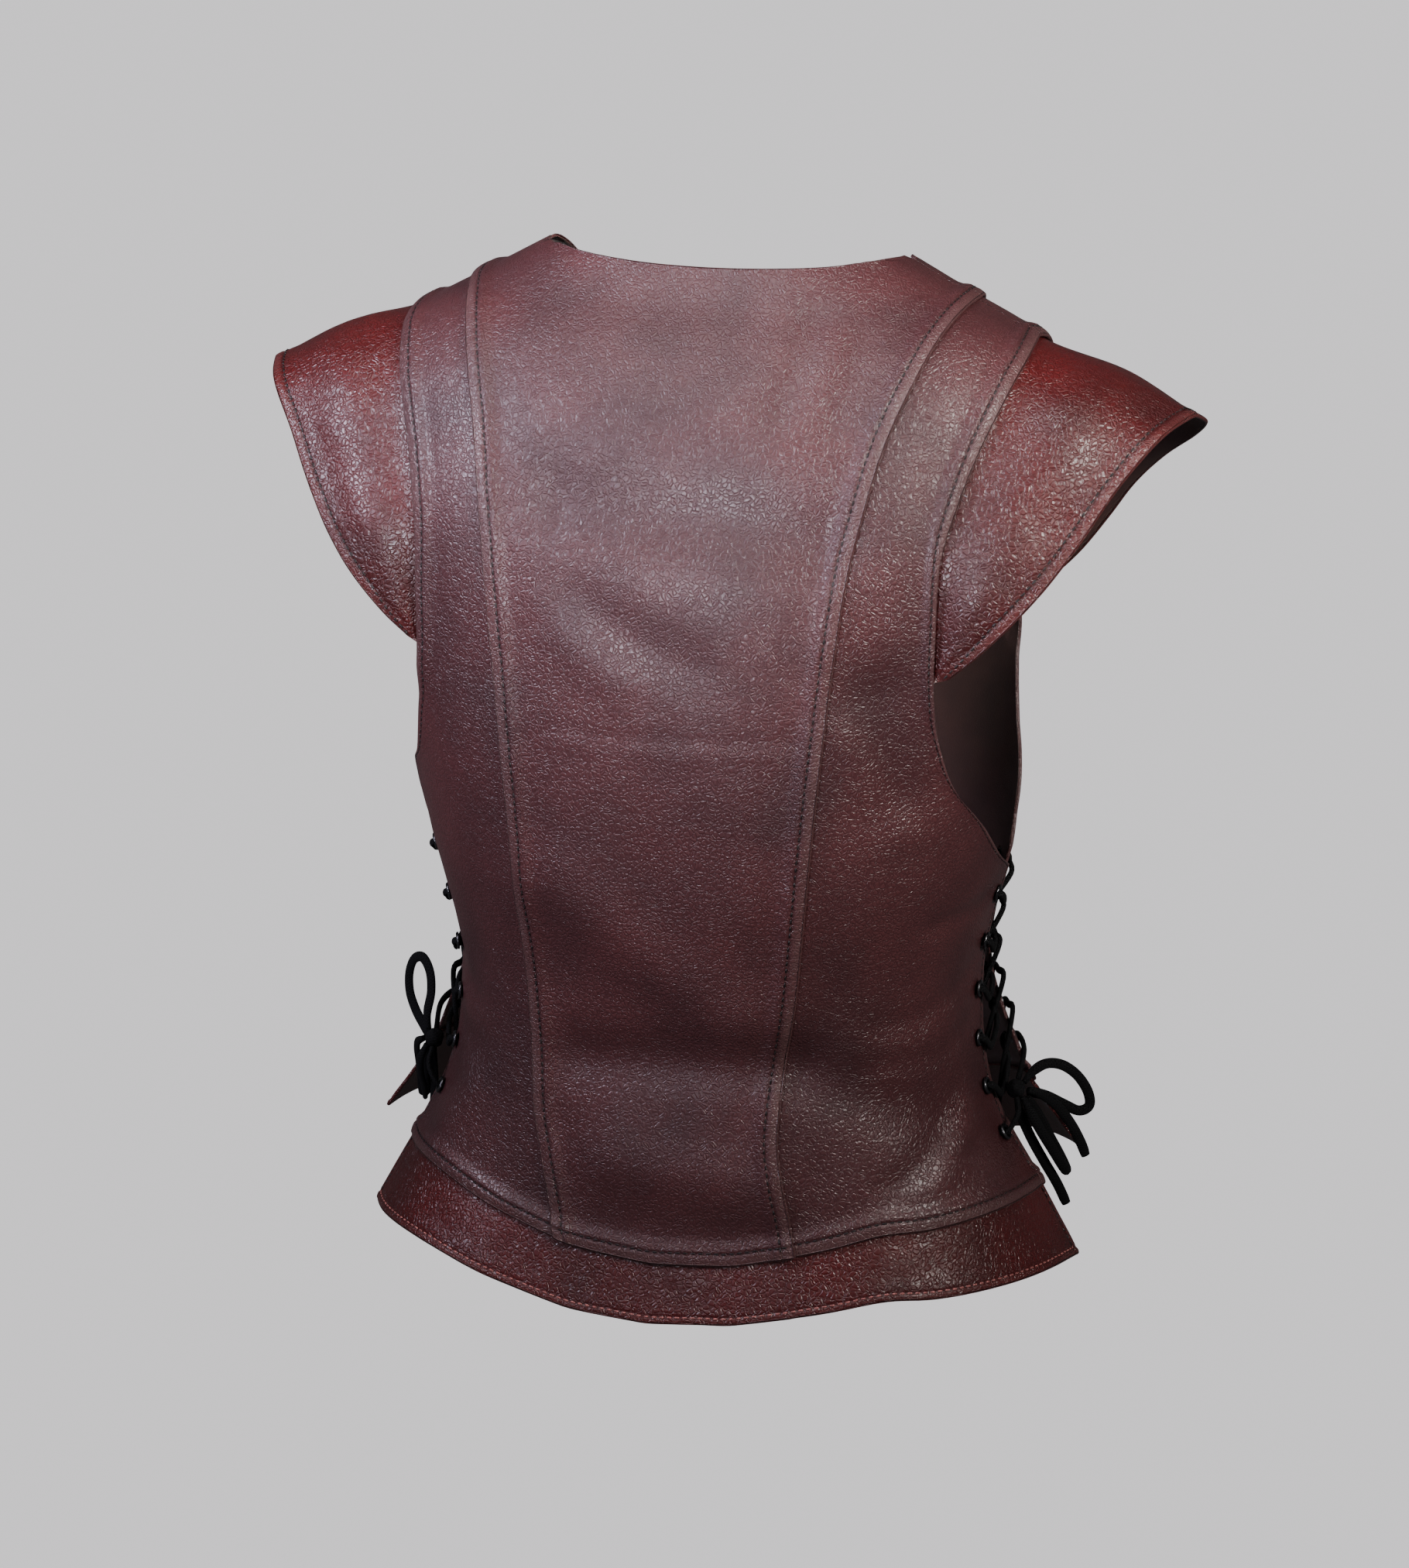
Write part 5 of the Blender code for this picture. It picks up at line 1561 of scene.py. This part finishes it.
@dataclass(frozen=True)
class EyeletMaker:
    """Rolled eyelets: a lathed lip, barrel and back flange.

    Attributes:
        outer: radius of the lip.
        bore: radius of the hole.
        lip: height of the lip over its seat.
    """

    outer: float = 4.5 * MM
    bore: float = 2.3 * MM
    lip: float = 1.0 * MM
    sides: int = 32

    def profile(self) -> Array:
        """Closed outline of (radius, height): a round lip, the bore, and a small back flange."""
        top = LEATHER + SEAM_GAP + 0.7 * MM
        arc = np.radians(np.linspace(200.0, -20.0, 12))
        middle = 0.5 * (self.outer + self.bore)
        half = 0.5 * (self.outer - self.bore)
        lip = np.stack([middle + half * np.cos(arc), top + self.lip * np.maximum(np.sin(arc), -0.4)], axis=-1)
        barrel = self.bore + 0.5 * MM
        back = np.array(((barrel, top - 0.6 * MM), (barrel, -0.4 * MM), (self.bore, -0.6 * MM)))
        return np.concatenate([lip, back])

    def make(self, node: str, finish: bpy.types.Material) -> bpy.types.Object:
        """Turns the profile about an eyelet's axis."""
        seat = EyeletSeat.of_node(node)
        first, second = seat.axes(np.array((0.0, 0.0, 1.0)))
        turn = np.arange(self.sides) * math.tau / self.sides
        spokes = np.cos(turn)[:, None] * first + np.sin(turn)[:, None] * second
        profile = self.profile()
        reach = profile[:, :1, None].transpose(0, 2, 1) * spokes[None]
        rings = seat.centre + reach + profile[:, 1:, None] * seat.out
        faces = grid_faces(len(profile), self.sides, closed=True)
        last = (len(profile) - 1) * self.sides
        k = np.arange(self.sides)
        closing = np.stack([last + k, last + (k + 1) % self.sides, (k + 1) % self.sides, k], axis=-1)
        piece = link_mesh(f"{node}_ring", rings, np.concatenate([faces, closing]), [finish])
        stand_for(piece, node)
        return piece


# Laces and bows

LACE_RADIUS = 1.6 * MM


@dataclass(frozen=True)
class CordShape:
    """A soft cord's cross-section: an ellipse that opens out of a round.

    Attributes:
        wide: half of its width.
        thin: half of its thickness.
        opening: length over which it opens from each end, in metres; 0 for none.
    """

    wide: float
    thin: float
    opening: float = 0.0

    def halves(self, run: Array) -> tuple[Array, Array]:
        """Gives the half width and half thickness along a cord of the given running lengths."""
        if self.opening == 0.0:
            return np.full(run.shape, self.wide), np.full(run.shape, self.thin)
        share = smooth_step(0.0, self.opening, np.minimum(run, run[-1] - run + 0.6 * self.opening))
        wide, thin = (LACE_RADIUS + (half - LACE_RADIUS) * share for half in (self.wide, self.thin))
        return wide, thin


def cord_tube(
    name: str, path: Array, shape: CordShape, facing: Array, finish: bpy.types.Material, sides: int = 14
) -> bpy.types.Object:
    """Carries an ellipse along a path: each ring stands square to the path, and its first spoke is the
    last ring's spoke turned as little as the path allows.  The ends are drawn in to a small round.

    Args:
        name: the piece's name.
        path: points of the centre line.
        shape: the cross-section.
        facing: the direction that the flat side faces, one for all points or one a point.
        finish: the cord's finish.
        sides: faces round the cord.
    """
    along = unit(np.gradient(path, axis=0))
    run = lengths_along(path)
    thin_way = np.broadcast_to(facing, path.shape) - along * np.sum(facing * along, axis=1, keepdims=True)
    for _ in range(6):
        thin_way = 0.5 * thin_way + 0.25 * (np.roll(thin_way, 1, 0) + np.roll(thin_way, -1, 0))
    thin_way = unit(thin_way - along * np.sum(thin_way * along, axis=1, keepdims=True))
    spoke = thin_way[0]
    spokes = []
    for direction in along:
        spoke = unit(spoke - direction * (spoke @ direction))
        spokes.append(spoke)
    first = np.array(spokes)
    second = np.cross(along, first)
    wide, thin = shape.halves(run)
    turn = np.arange(sides) * math.tau / sides
    round_way = np.cos(turn)[None, :, None] * first[:, None] + np.sin(turn)[None, :, None] * second[:, None]
    depth = np.sum(round_way * thin_way[:, None], axis=2, keepdims=True) * thin_way[:, None]
    offset = round_way * wide[:, None, None] - depth * (wide - thin)[:, None, None]
    body = path[:, None] + offset
    caps = [path[k] + offset[k] * size + along[k] * thin[k] * shift for k, size, shift in (
        (0, 0.5, -0.05), (0, 0.85, -0.03), (-1, 0.85, 0.03), (-1, 0.5, 0.05))]
    rings = np.concatenate([np.stack(caps[:2]), body, np.stack(caps[2:])])
    faces = grid_faces(len(rings), sides, closed=True)[:, ::-1].tolist()
    last = (len(rings) - 1) * sides
    faces.append(list(range(sides)))
    faces.append([last + k for k in range(sides - 1, -1, -1)])
    piece = link_mesh(name, rings, faces, [finish])
    with_caps = np.concatenate([run[:1], run[:1], run, run[-1:], run[-1:]])
    lay_uv(piece, len(rings), sides, with_caps / (2.0 * LACE_RADIUS))
    return piece


def lay_uv(piece: bpy.types.Object, rings: int, sides: int, run: Array) -> None:
    """Gives a tube a UV map: U once round it, V along it in cord widths."""
    layer = piece.data.uv_layers.new(name="lay")
    corners = np.zeros(len(piece.data.loops), np.int32)
    piece.data.loops.foreach_get("vertex_index", corners)
    u = (corners % sides) / sides
    v = run[np.minimum(corners // sides, rings - 1)]
    around = grid_faces(rings, sides, closed=True)[:, ::-1] % sides
    wrap = (around.max(axis=1) - around.min(axis=1) > 1)[:, None] & (around == 0)
    u[: wrap.size][wrap.ravel()] = 1.0
    layer.data.foreach_set("uv", np.stack([u, v], axis=-1).astype(np.float32).ravel())


class BowPoint(NamedTuple):
    """A place on a bow cord's route from its knot: outward, forward and up."""

    out: float
    forward: float
    up: float


BOWS = {
    Side.RIGHT: {
        "loop_high": in_mm(
            BowPoint,
            (3.0, 4.8, 2.0), (6.4, 9.5, 6.6), (12, 15, 9.5), (19, 21, 7.5), (26, 26, 1.0), (31, 30, -8.5),
            (32, 31, -16.5), (27.5, 27, -18.5), (20.5, 21, -13.5), (12.5, 13.5, -7.0), (5.0, 5.8, -3.0),
        ),
        "loop_low": in_mm(
            BowPoint,
            (3.8, -1.7, -3.6), (8.0, -1.0, -11.5), (13, 2.0, -22), (18.5, 7.5, -34), (23, 13, -44.5),
            (23.8, 17.5, -47.5), (20.5, 18, -41), (15, 14.5, -29), (10, 9.5, -16.5), (4.8, 3.0, -5.5),
        ),
        "tail_short": in_mm(
            BowPoint,
            (5.6, 2.2, -1.0), (12.0, 7.5, -4.5), (19, 13.5, -12.5),
            (25, 19, -23), (29.5, 23.5, -34), (32, 26, -42),
        ),
        "tail_long": in_mm(
            BowPoint,
            (0.6, 0.0, -5.3), (2.6, 1.5, -14.5), (7.5, 5.5, -28),
            (13.5, 11, -42), (19.5, 16, -55), (24, 20, -67),
        ),
    },
    Side.LEFT: {
        "loop_high": in_mm(
            BowPoint,
            (4.5, 3.0, 3.0), (6.0, 5.5, 11), (4.5, 7.5, 22), (6.0, 10, 32), (11, 13.5, 38), (17, 17, 35.5),
            (20.5, 19, 27), (20, 18, 17), (15.5, 14, 9), (10, 9.5, 3.5), (4.5, 4.0, -0.5),
        ),
        "loop_low": in_mm(
            BowPoint,
            (3.8, -1.7, -3.6), (7.4, -1.4, -11.5), (9.5, 4.0, -21), (10.5, 11.5, -31), (12, 17.5, -38.5),
            (12.5, 21, -39), (12, 20, -31.5), (10.5, 15.5, -22), (8.5, 10.0, -13), (4.8, 3.0, -5.5),
        ),
        "tail_short": in_mm(
            BowPoint,
            (6.2, 1.0, -1.2), (11.5, 6.0, -5.5), (14.5, 13, -13),
            (16, 20, -23), (17, 25.5, -34), (18, 29, -43),
        ),
        "tail_long": in_mm(
            BowPoint,
            (0.6, 0.0, -5.3), (1.6, 2.5, -14.5), (3.0, 7.5, -27),
            (5.5, 12.5, -41), (8.5, 16.5, -55), (10.5, 18.5, -66),
        ),
    },
}


@dataclass(frozen=True)
class LaceSeat:
    """An eyelet with the opening's edge beside it."""

    centre: Array
    out: Array
    edge: Array
    edge_above: Array
    edge_below: Array
    edge_out: Array


@dataclass
class SideLacing:
    """One side's eyelets, lace and bow.

    The heights are those of the cord's middle over the form: above and below an eyelet's hole,
    outside and inside the leather, over and under an edge, and where two strands cross.
    """

    side: Side
    finishes: Finishes
    above_hole: float = 4.3 * MM
    below_hole: float = -1.2 * MM
    outside: float = 4.7 * MM
    inside: float = -2.6 * MM
    over_edge: float = 4.6 * MM
    under_edge: float = -2.8 * MM
    over: float = 3.4 * MM
    under: float = -0.4 * MM
    knot_radius: float = 5.0 * MM
    lead_share: float = 0.35
    lead_height: float = 6.8 * MM

    def seats(self, face: Face) -> list[LaceSeat]:
        """Gives one edge's eyelets, top first, with the opening's edge beside each."""
        cut = CUTS[face]
        opening = cut.outer_lines(self.side)[0]
        marks = sampled(opening, np.linspace(FIRST_EYELET_SHARE, 1.0, EYELETS + 1))
        outs = cut.form.outward(marks)
        made = []
        for k, node in enumerate(eyelet_nodes(face, self.side)):
            low = EYELETS - 1 - k
            seat = EyeletSeat.of_node(node)
            below, above = marks[low], marks[low + 1]
            edge_out = unit(outs[low] + outs[low + 1])
            made.append(LaceSeat(seat.centre, seat.out, 0.5 * (below + above), above, below, edge_out))
        return made

    def crossing(self, start: LaceSeat, end: LaceSeat, over: bool) -> list[Array]:
        """Route from above one eyelet, over its edge and under the other, up to the other's hole."""
        leave = 0.5 * (start.edge + start.edge_below)
        arrive = 0.5 * (end.edge + end.edge_above)
        middle_out = unit(start.out + end.out)
        middle = 0.5 * (leave + arrive)
        return [
            start.centre + start.out * self.above_hole,
            start.centre * 0.6 + leave * 0.4 + start.out * self.outside,
            leave + start.edge_out * self.over_edge,
            middle + middle_out * (self.over if over else self.under),
            arrive * 0.72 + middle * 0.28 + end.edge_out * self.under_edge,
            arrive * 0.7 + end.centre * 0.3 + end.edge_out * self.under_edge,
            end.centre * 0.8 + arrive * 0.2 + end.out * self.inside,
            end.centre + end.out * self.below_hole,
        ]

    def route(self, knot: Array) -> Array:
        """The whole lace: from the knot up to the top and down again, crossing at each step."""
        seats = {face: self.seats(face) for face in Face}
        other = {Face.BACK: Face.FRONT, Face.FRONT: Face.BACK}
        strands = []
        for start_face in (Face.BACK, Face.FRONT):
            face = start_face
            top = seats[face][0]
            route = [
                top.centre * 0.35 + top.edge * 0.65 + top.edge_out * self.under_edge,
                top.centre * 0.8 + top.edge * 0.2 + top.out * self.inside,
                top.centre + top.out * self.below_hole,
            ]
            for k in range(EYELETS - 1):
                over = (k % 2 == 0) == (start_face is Face.BACK)
                route += self.crossing(seats[face][k], seats[other[face]][k + 1], over)
                face = other[face]
            last = seats[face][-1]
            lead = last.centre + (knot - last.centre) * self.lead_share + last.out * self.lead_height
            end = knot - unit(knot - lead) * (self.knot_radius + 0.6 * MM)
            route += [last.centre + last.out * self.above_hole, lead, end]
            strands.append(route)
        return np.array(strands[0][::-1] + strands[1])

    def knot_centre(self) -> Array:
        """Reads the knot's middle from its solid."""
        low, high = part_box(f"bow_knot_{self.side.name.lower()}")
        return 0.5 * (np.array(low) + np.array(high))

    def make_knot(self, centre: Array) -> bpy.types.Object:
        """Makes the pulled knot: a sphere whose radius swells and dips in slanting turns of cord."""
        lat = np.linspace(0.02, math.pi - 0.02, 20)[:, None]
        lon = np.arange(32)[None] * math.tau / 32
        radius = self.knot_radius * (0.93 + 0.09 * np.cos(3.0 * lon + 2.6 * np.cos(lat)) * np.sin(lat))
        points = centre + np.stack([
            radius * np.sin(lat) * np.cos(lon),
            radius * np.sin(lat) * np.sin(lon),
            radius * np.cos(lat) * 1.05,
        ], axis=-1)
        faces = grid_faces(20, 32, closed=True)[:, ::-1].tolist()
        faces.append(list(range(32)))
        faces.append([19 * 32 + k for k in range(31, -1, -1)])
        piece = link_mesh(f"bow_knot_{self.side.name.lower()}_turns", points, faces, [self.finishes.cord])
        lay_uv(piece, 20, 32, lat[:, 0] * 1.5)
        return piece

    def build(self) -> None:
        """Makes the eyelets, the lace, the knot, and the bow's loops and tails."""
        label = self.side.name.lower()
        for face in Face:
            for node in eyelet_nodes(face, self.side):
                EyeletMaker().make(node, self.finishes.eyelet)
        knot = self.knot_centre()
        path = smooth_line(self.route(knot), 5)
        facing = unit(path * np.array((1.0, 1.0, 0.0)))
        shape = CordShape(2.0 * MM, 1.35 * MM)
        lace = cord_tube(f"lace_{label}_cord", path, shape, facing, self.finishes.cord)
        stand_for(lace, f"lace_{label}")
        turns = self.make_knot(knot)
        stand_for(turns, f"bow_knot_{label}")
        for name, points in BOWS[self.side].items():
            self.make_bow_cord(name, points, knot)
        LOG.info("side lacing %s: lace, knot and %d bow cords", label, len(BOWS[self.side]))

    def make_bow_cord(
        self, name: str, points: Sequence[BowPoint], knot: Array
    ) -> None:
        """Makes a loop or a tail of the bow."""
        label = self.side.name.lower()
        placed = [knot + np.array((self.side.value * p.out, -p.forward, p.up)) for p in points]
        path = smooth_line(placed, 8)
        facing = unit(np.array((0.3 * self.side.value, 0.9, 0.3)))
        shape = CordShape(2.7 * MM, 1.2 * MM, 12.0 * MM)
        piece = cord_tube(f"bow_{name}_{label}_cord", path, shape, facing, self.finishes.cord)
        stand_for(piece, f"bow_{name}_{label}")


# Camera, lights and backdrop

@dataclass(frozen=True)
class Studio:
    """The photograph's viewpoint, soft lights and a pale sweep.

    Attributes:
        eye: the camera's place.
        right: the picture's rightward direction.
        up: its upward direction.
        focal_pixels: focal length in pixels of the 1820 by 2025 picture.
    """

    eye: tuple[float, float, float] = (-0.5604, 1.9846, 0.338)
    right: tuple[float, float, float] = (-0.9604, -0.2784, 0.0097)
    up: tuple[float, float, float] = (0.088, -0.2702, 0.9588)
    focal_pixels: float = 5512.8
    long_side: float = 2025.0
    sensor: float = 36.0
    floor_height: float = -1.45
    paper_glow: float = 1.75

    def camera(self) -> None:
        """Makes the camera; the sensor's width is the picture's long side."""
        data = bpy.data.cameras.new("camera")
        data.sensor_width = self.sensor
        data.lens = self.focal_pixels / self.long_side * self.sensor
        made = bpy.data.objects.new("camera", data)
        bpy.context.scene.collection.objects.link(made)
        right, up = unit(np.array(self.right)), unit(np.array(self.up))
        back = np.cross(right, up)
        up = np.cross(back, right)
        matrix = np.eye(4)
        matrix[:3, 0], matrix[:3, 1], matrix[:3, 2], matrix[:3, 3] = right, up, back, self.eye
        made.matrix_world = matrix.T
        bpy.context.scene.camera = made

    def sweep(self) -> None:
        """Makes the floor and backdrop: a floor that turns up into a wall on a quarter circle."""
        radius, reach, half = 1.2, 3.2, 6.0
        turn = np.linspace(0.0, math.pi / 2, 13)
        profile = np.concatenate([
            [(4.0, 0.0)],
            np.stack([-reach - radius * np.sin(turn), radius * (1 - np.cos(turn))], axis=-1),
            [(-reach - radius, 5.0)],
        ])
        across = np.linspace(-half, half, 9)
        points = np.stack(np.broadcast_arrays(
            across[None, :], profile[:, :1], profile[:, 1:] + self.floor_height), axis=-1)
        material, tree, shader = new_material("pale paper sweep")
        place = add_node(tree, "ShaderNodeTexCoord").outputs["Object"]
        grain = add_node(tree, "ShaderNodeTexNoise", {"Vector": place, "Scale": 300.0})
        bump = add_node(tree, "ShaderNodeBump", {"Height": grain.outputs["Fac"], "Distance": 0.05 * MM})
        tree.links.new(bump.outputs[0], shader.inputs["Normal"])
        shader.inputs["Base Color"].default_value = to_linear("#3a3a3a")
        shader.inputs["Roughness"].default_value = 0.95
        shader.inputs["Specular IOR Level"].default_value = 0.0
        shader.inputs["Emission Color"].default_value = to_linear("#c4c2c4")
        seen = add_node(tree, "ShaderNodeLightPath").outputs["Is Camera Ray"]
        glow = ranged(tree, seen, (0.0, 1.0), (0.15, self.paper_glow))
        tree.links.new(glow, shader.inputs["Emission Strength"])
        floor = link_mesh("paper_sweep", points, grid_faces(len(profile), len(across)), [material])

    def light(
        self, name: str, place: Sequence[float], size: float, power: float, colour: str, spread: float = 180.0
    ) -> None:
        """Makes a square soft light that faces the shoulders; a small spread narrows its beam."""
        data = bpy.data.lights.new(name, "AREA")
        data.spread = math.radians(spread)
        data.size = size
        data.energy = power
        data.color = to_linear(colour)[:3]
        made = bpy.data.objects.new(name, data)
        bpy.context.scene.collection.objects.link(made)
        back = unit(np.array(place) - np.array((0.0, 0.0, 0.05)))
        side = unit(np.cross((0.0, 0.0, 1.0), back))
        matrix = np.eye(4)
        matrix[:3, 0], matrix[:3, 1], matrix[:3, 2], matrix[:3, 3] = side, np.cross(back, side), back, place
        made.matrix_world = matrix.T

    def build(self) -> None:
        """Makes the camera, the sweep, the lights and the sky."""
        self.camera()
        self.sweep()
        self.light("ceiling", (0.2, 0.6, 1.0), 0.6, 8.0, "#fffafc")
        self.light("window_behind", (0.5, 2.8, 0.30), 0.5, 1.2, "#f2f2ff", 18.0)
        self.light("window_left", (1.5, 1.0, 0.7), 0.6, 3.1, "#ece8ff", 40.0)
        self.light("window_right", (-1.5, 1.0, 0.9), 0.7, 4.2, "#fffaf4", 38.0)
        world = bpy.data.worlds.new("soft room")
        world.use_nodes = True
        world.node_tree.nodes["Background"].inputs["Color"].default_value = to_linear("#e4e4e8")
        world.node_tree.nodes["Background"].inputs["Strength"].default_value = 0.06
        bpy.context.scene.world = world


def main() -> None:
    """Builds the doublet's pieces in order and reports them."""
    logging.basicConfig(level=logging.INFO, format="%(message)s")
    Studio().build()
    finishes = Finishes()
    for side in Side:
        SideLacing(side, finishes).build()
    body = Body(finishes)
    body.build()
    for side in Side:
        ShoulderWing(side, body, finishes).build()
    HemBand(Face.BACK, body, finishes, drop=(0.028, 0.036), flare=(0.009, 0.020)).build()
    HemBand(Face.FRONT, body, finishes, drop=(0.028, 0.037), flare=(0.010, 0.026)).build()


if __name__ == "__main__":
    main()
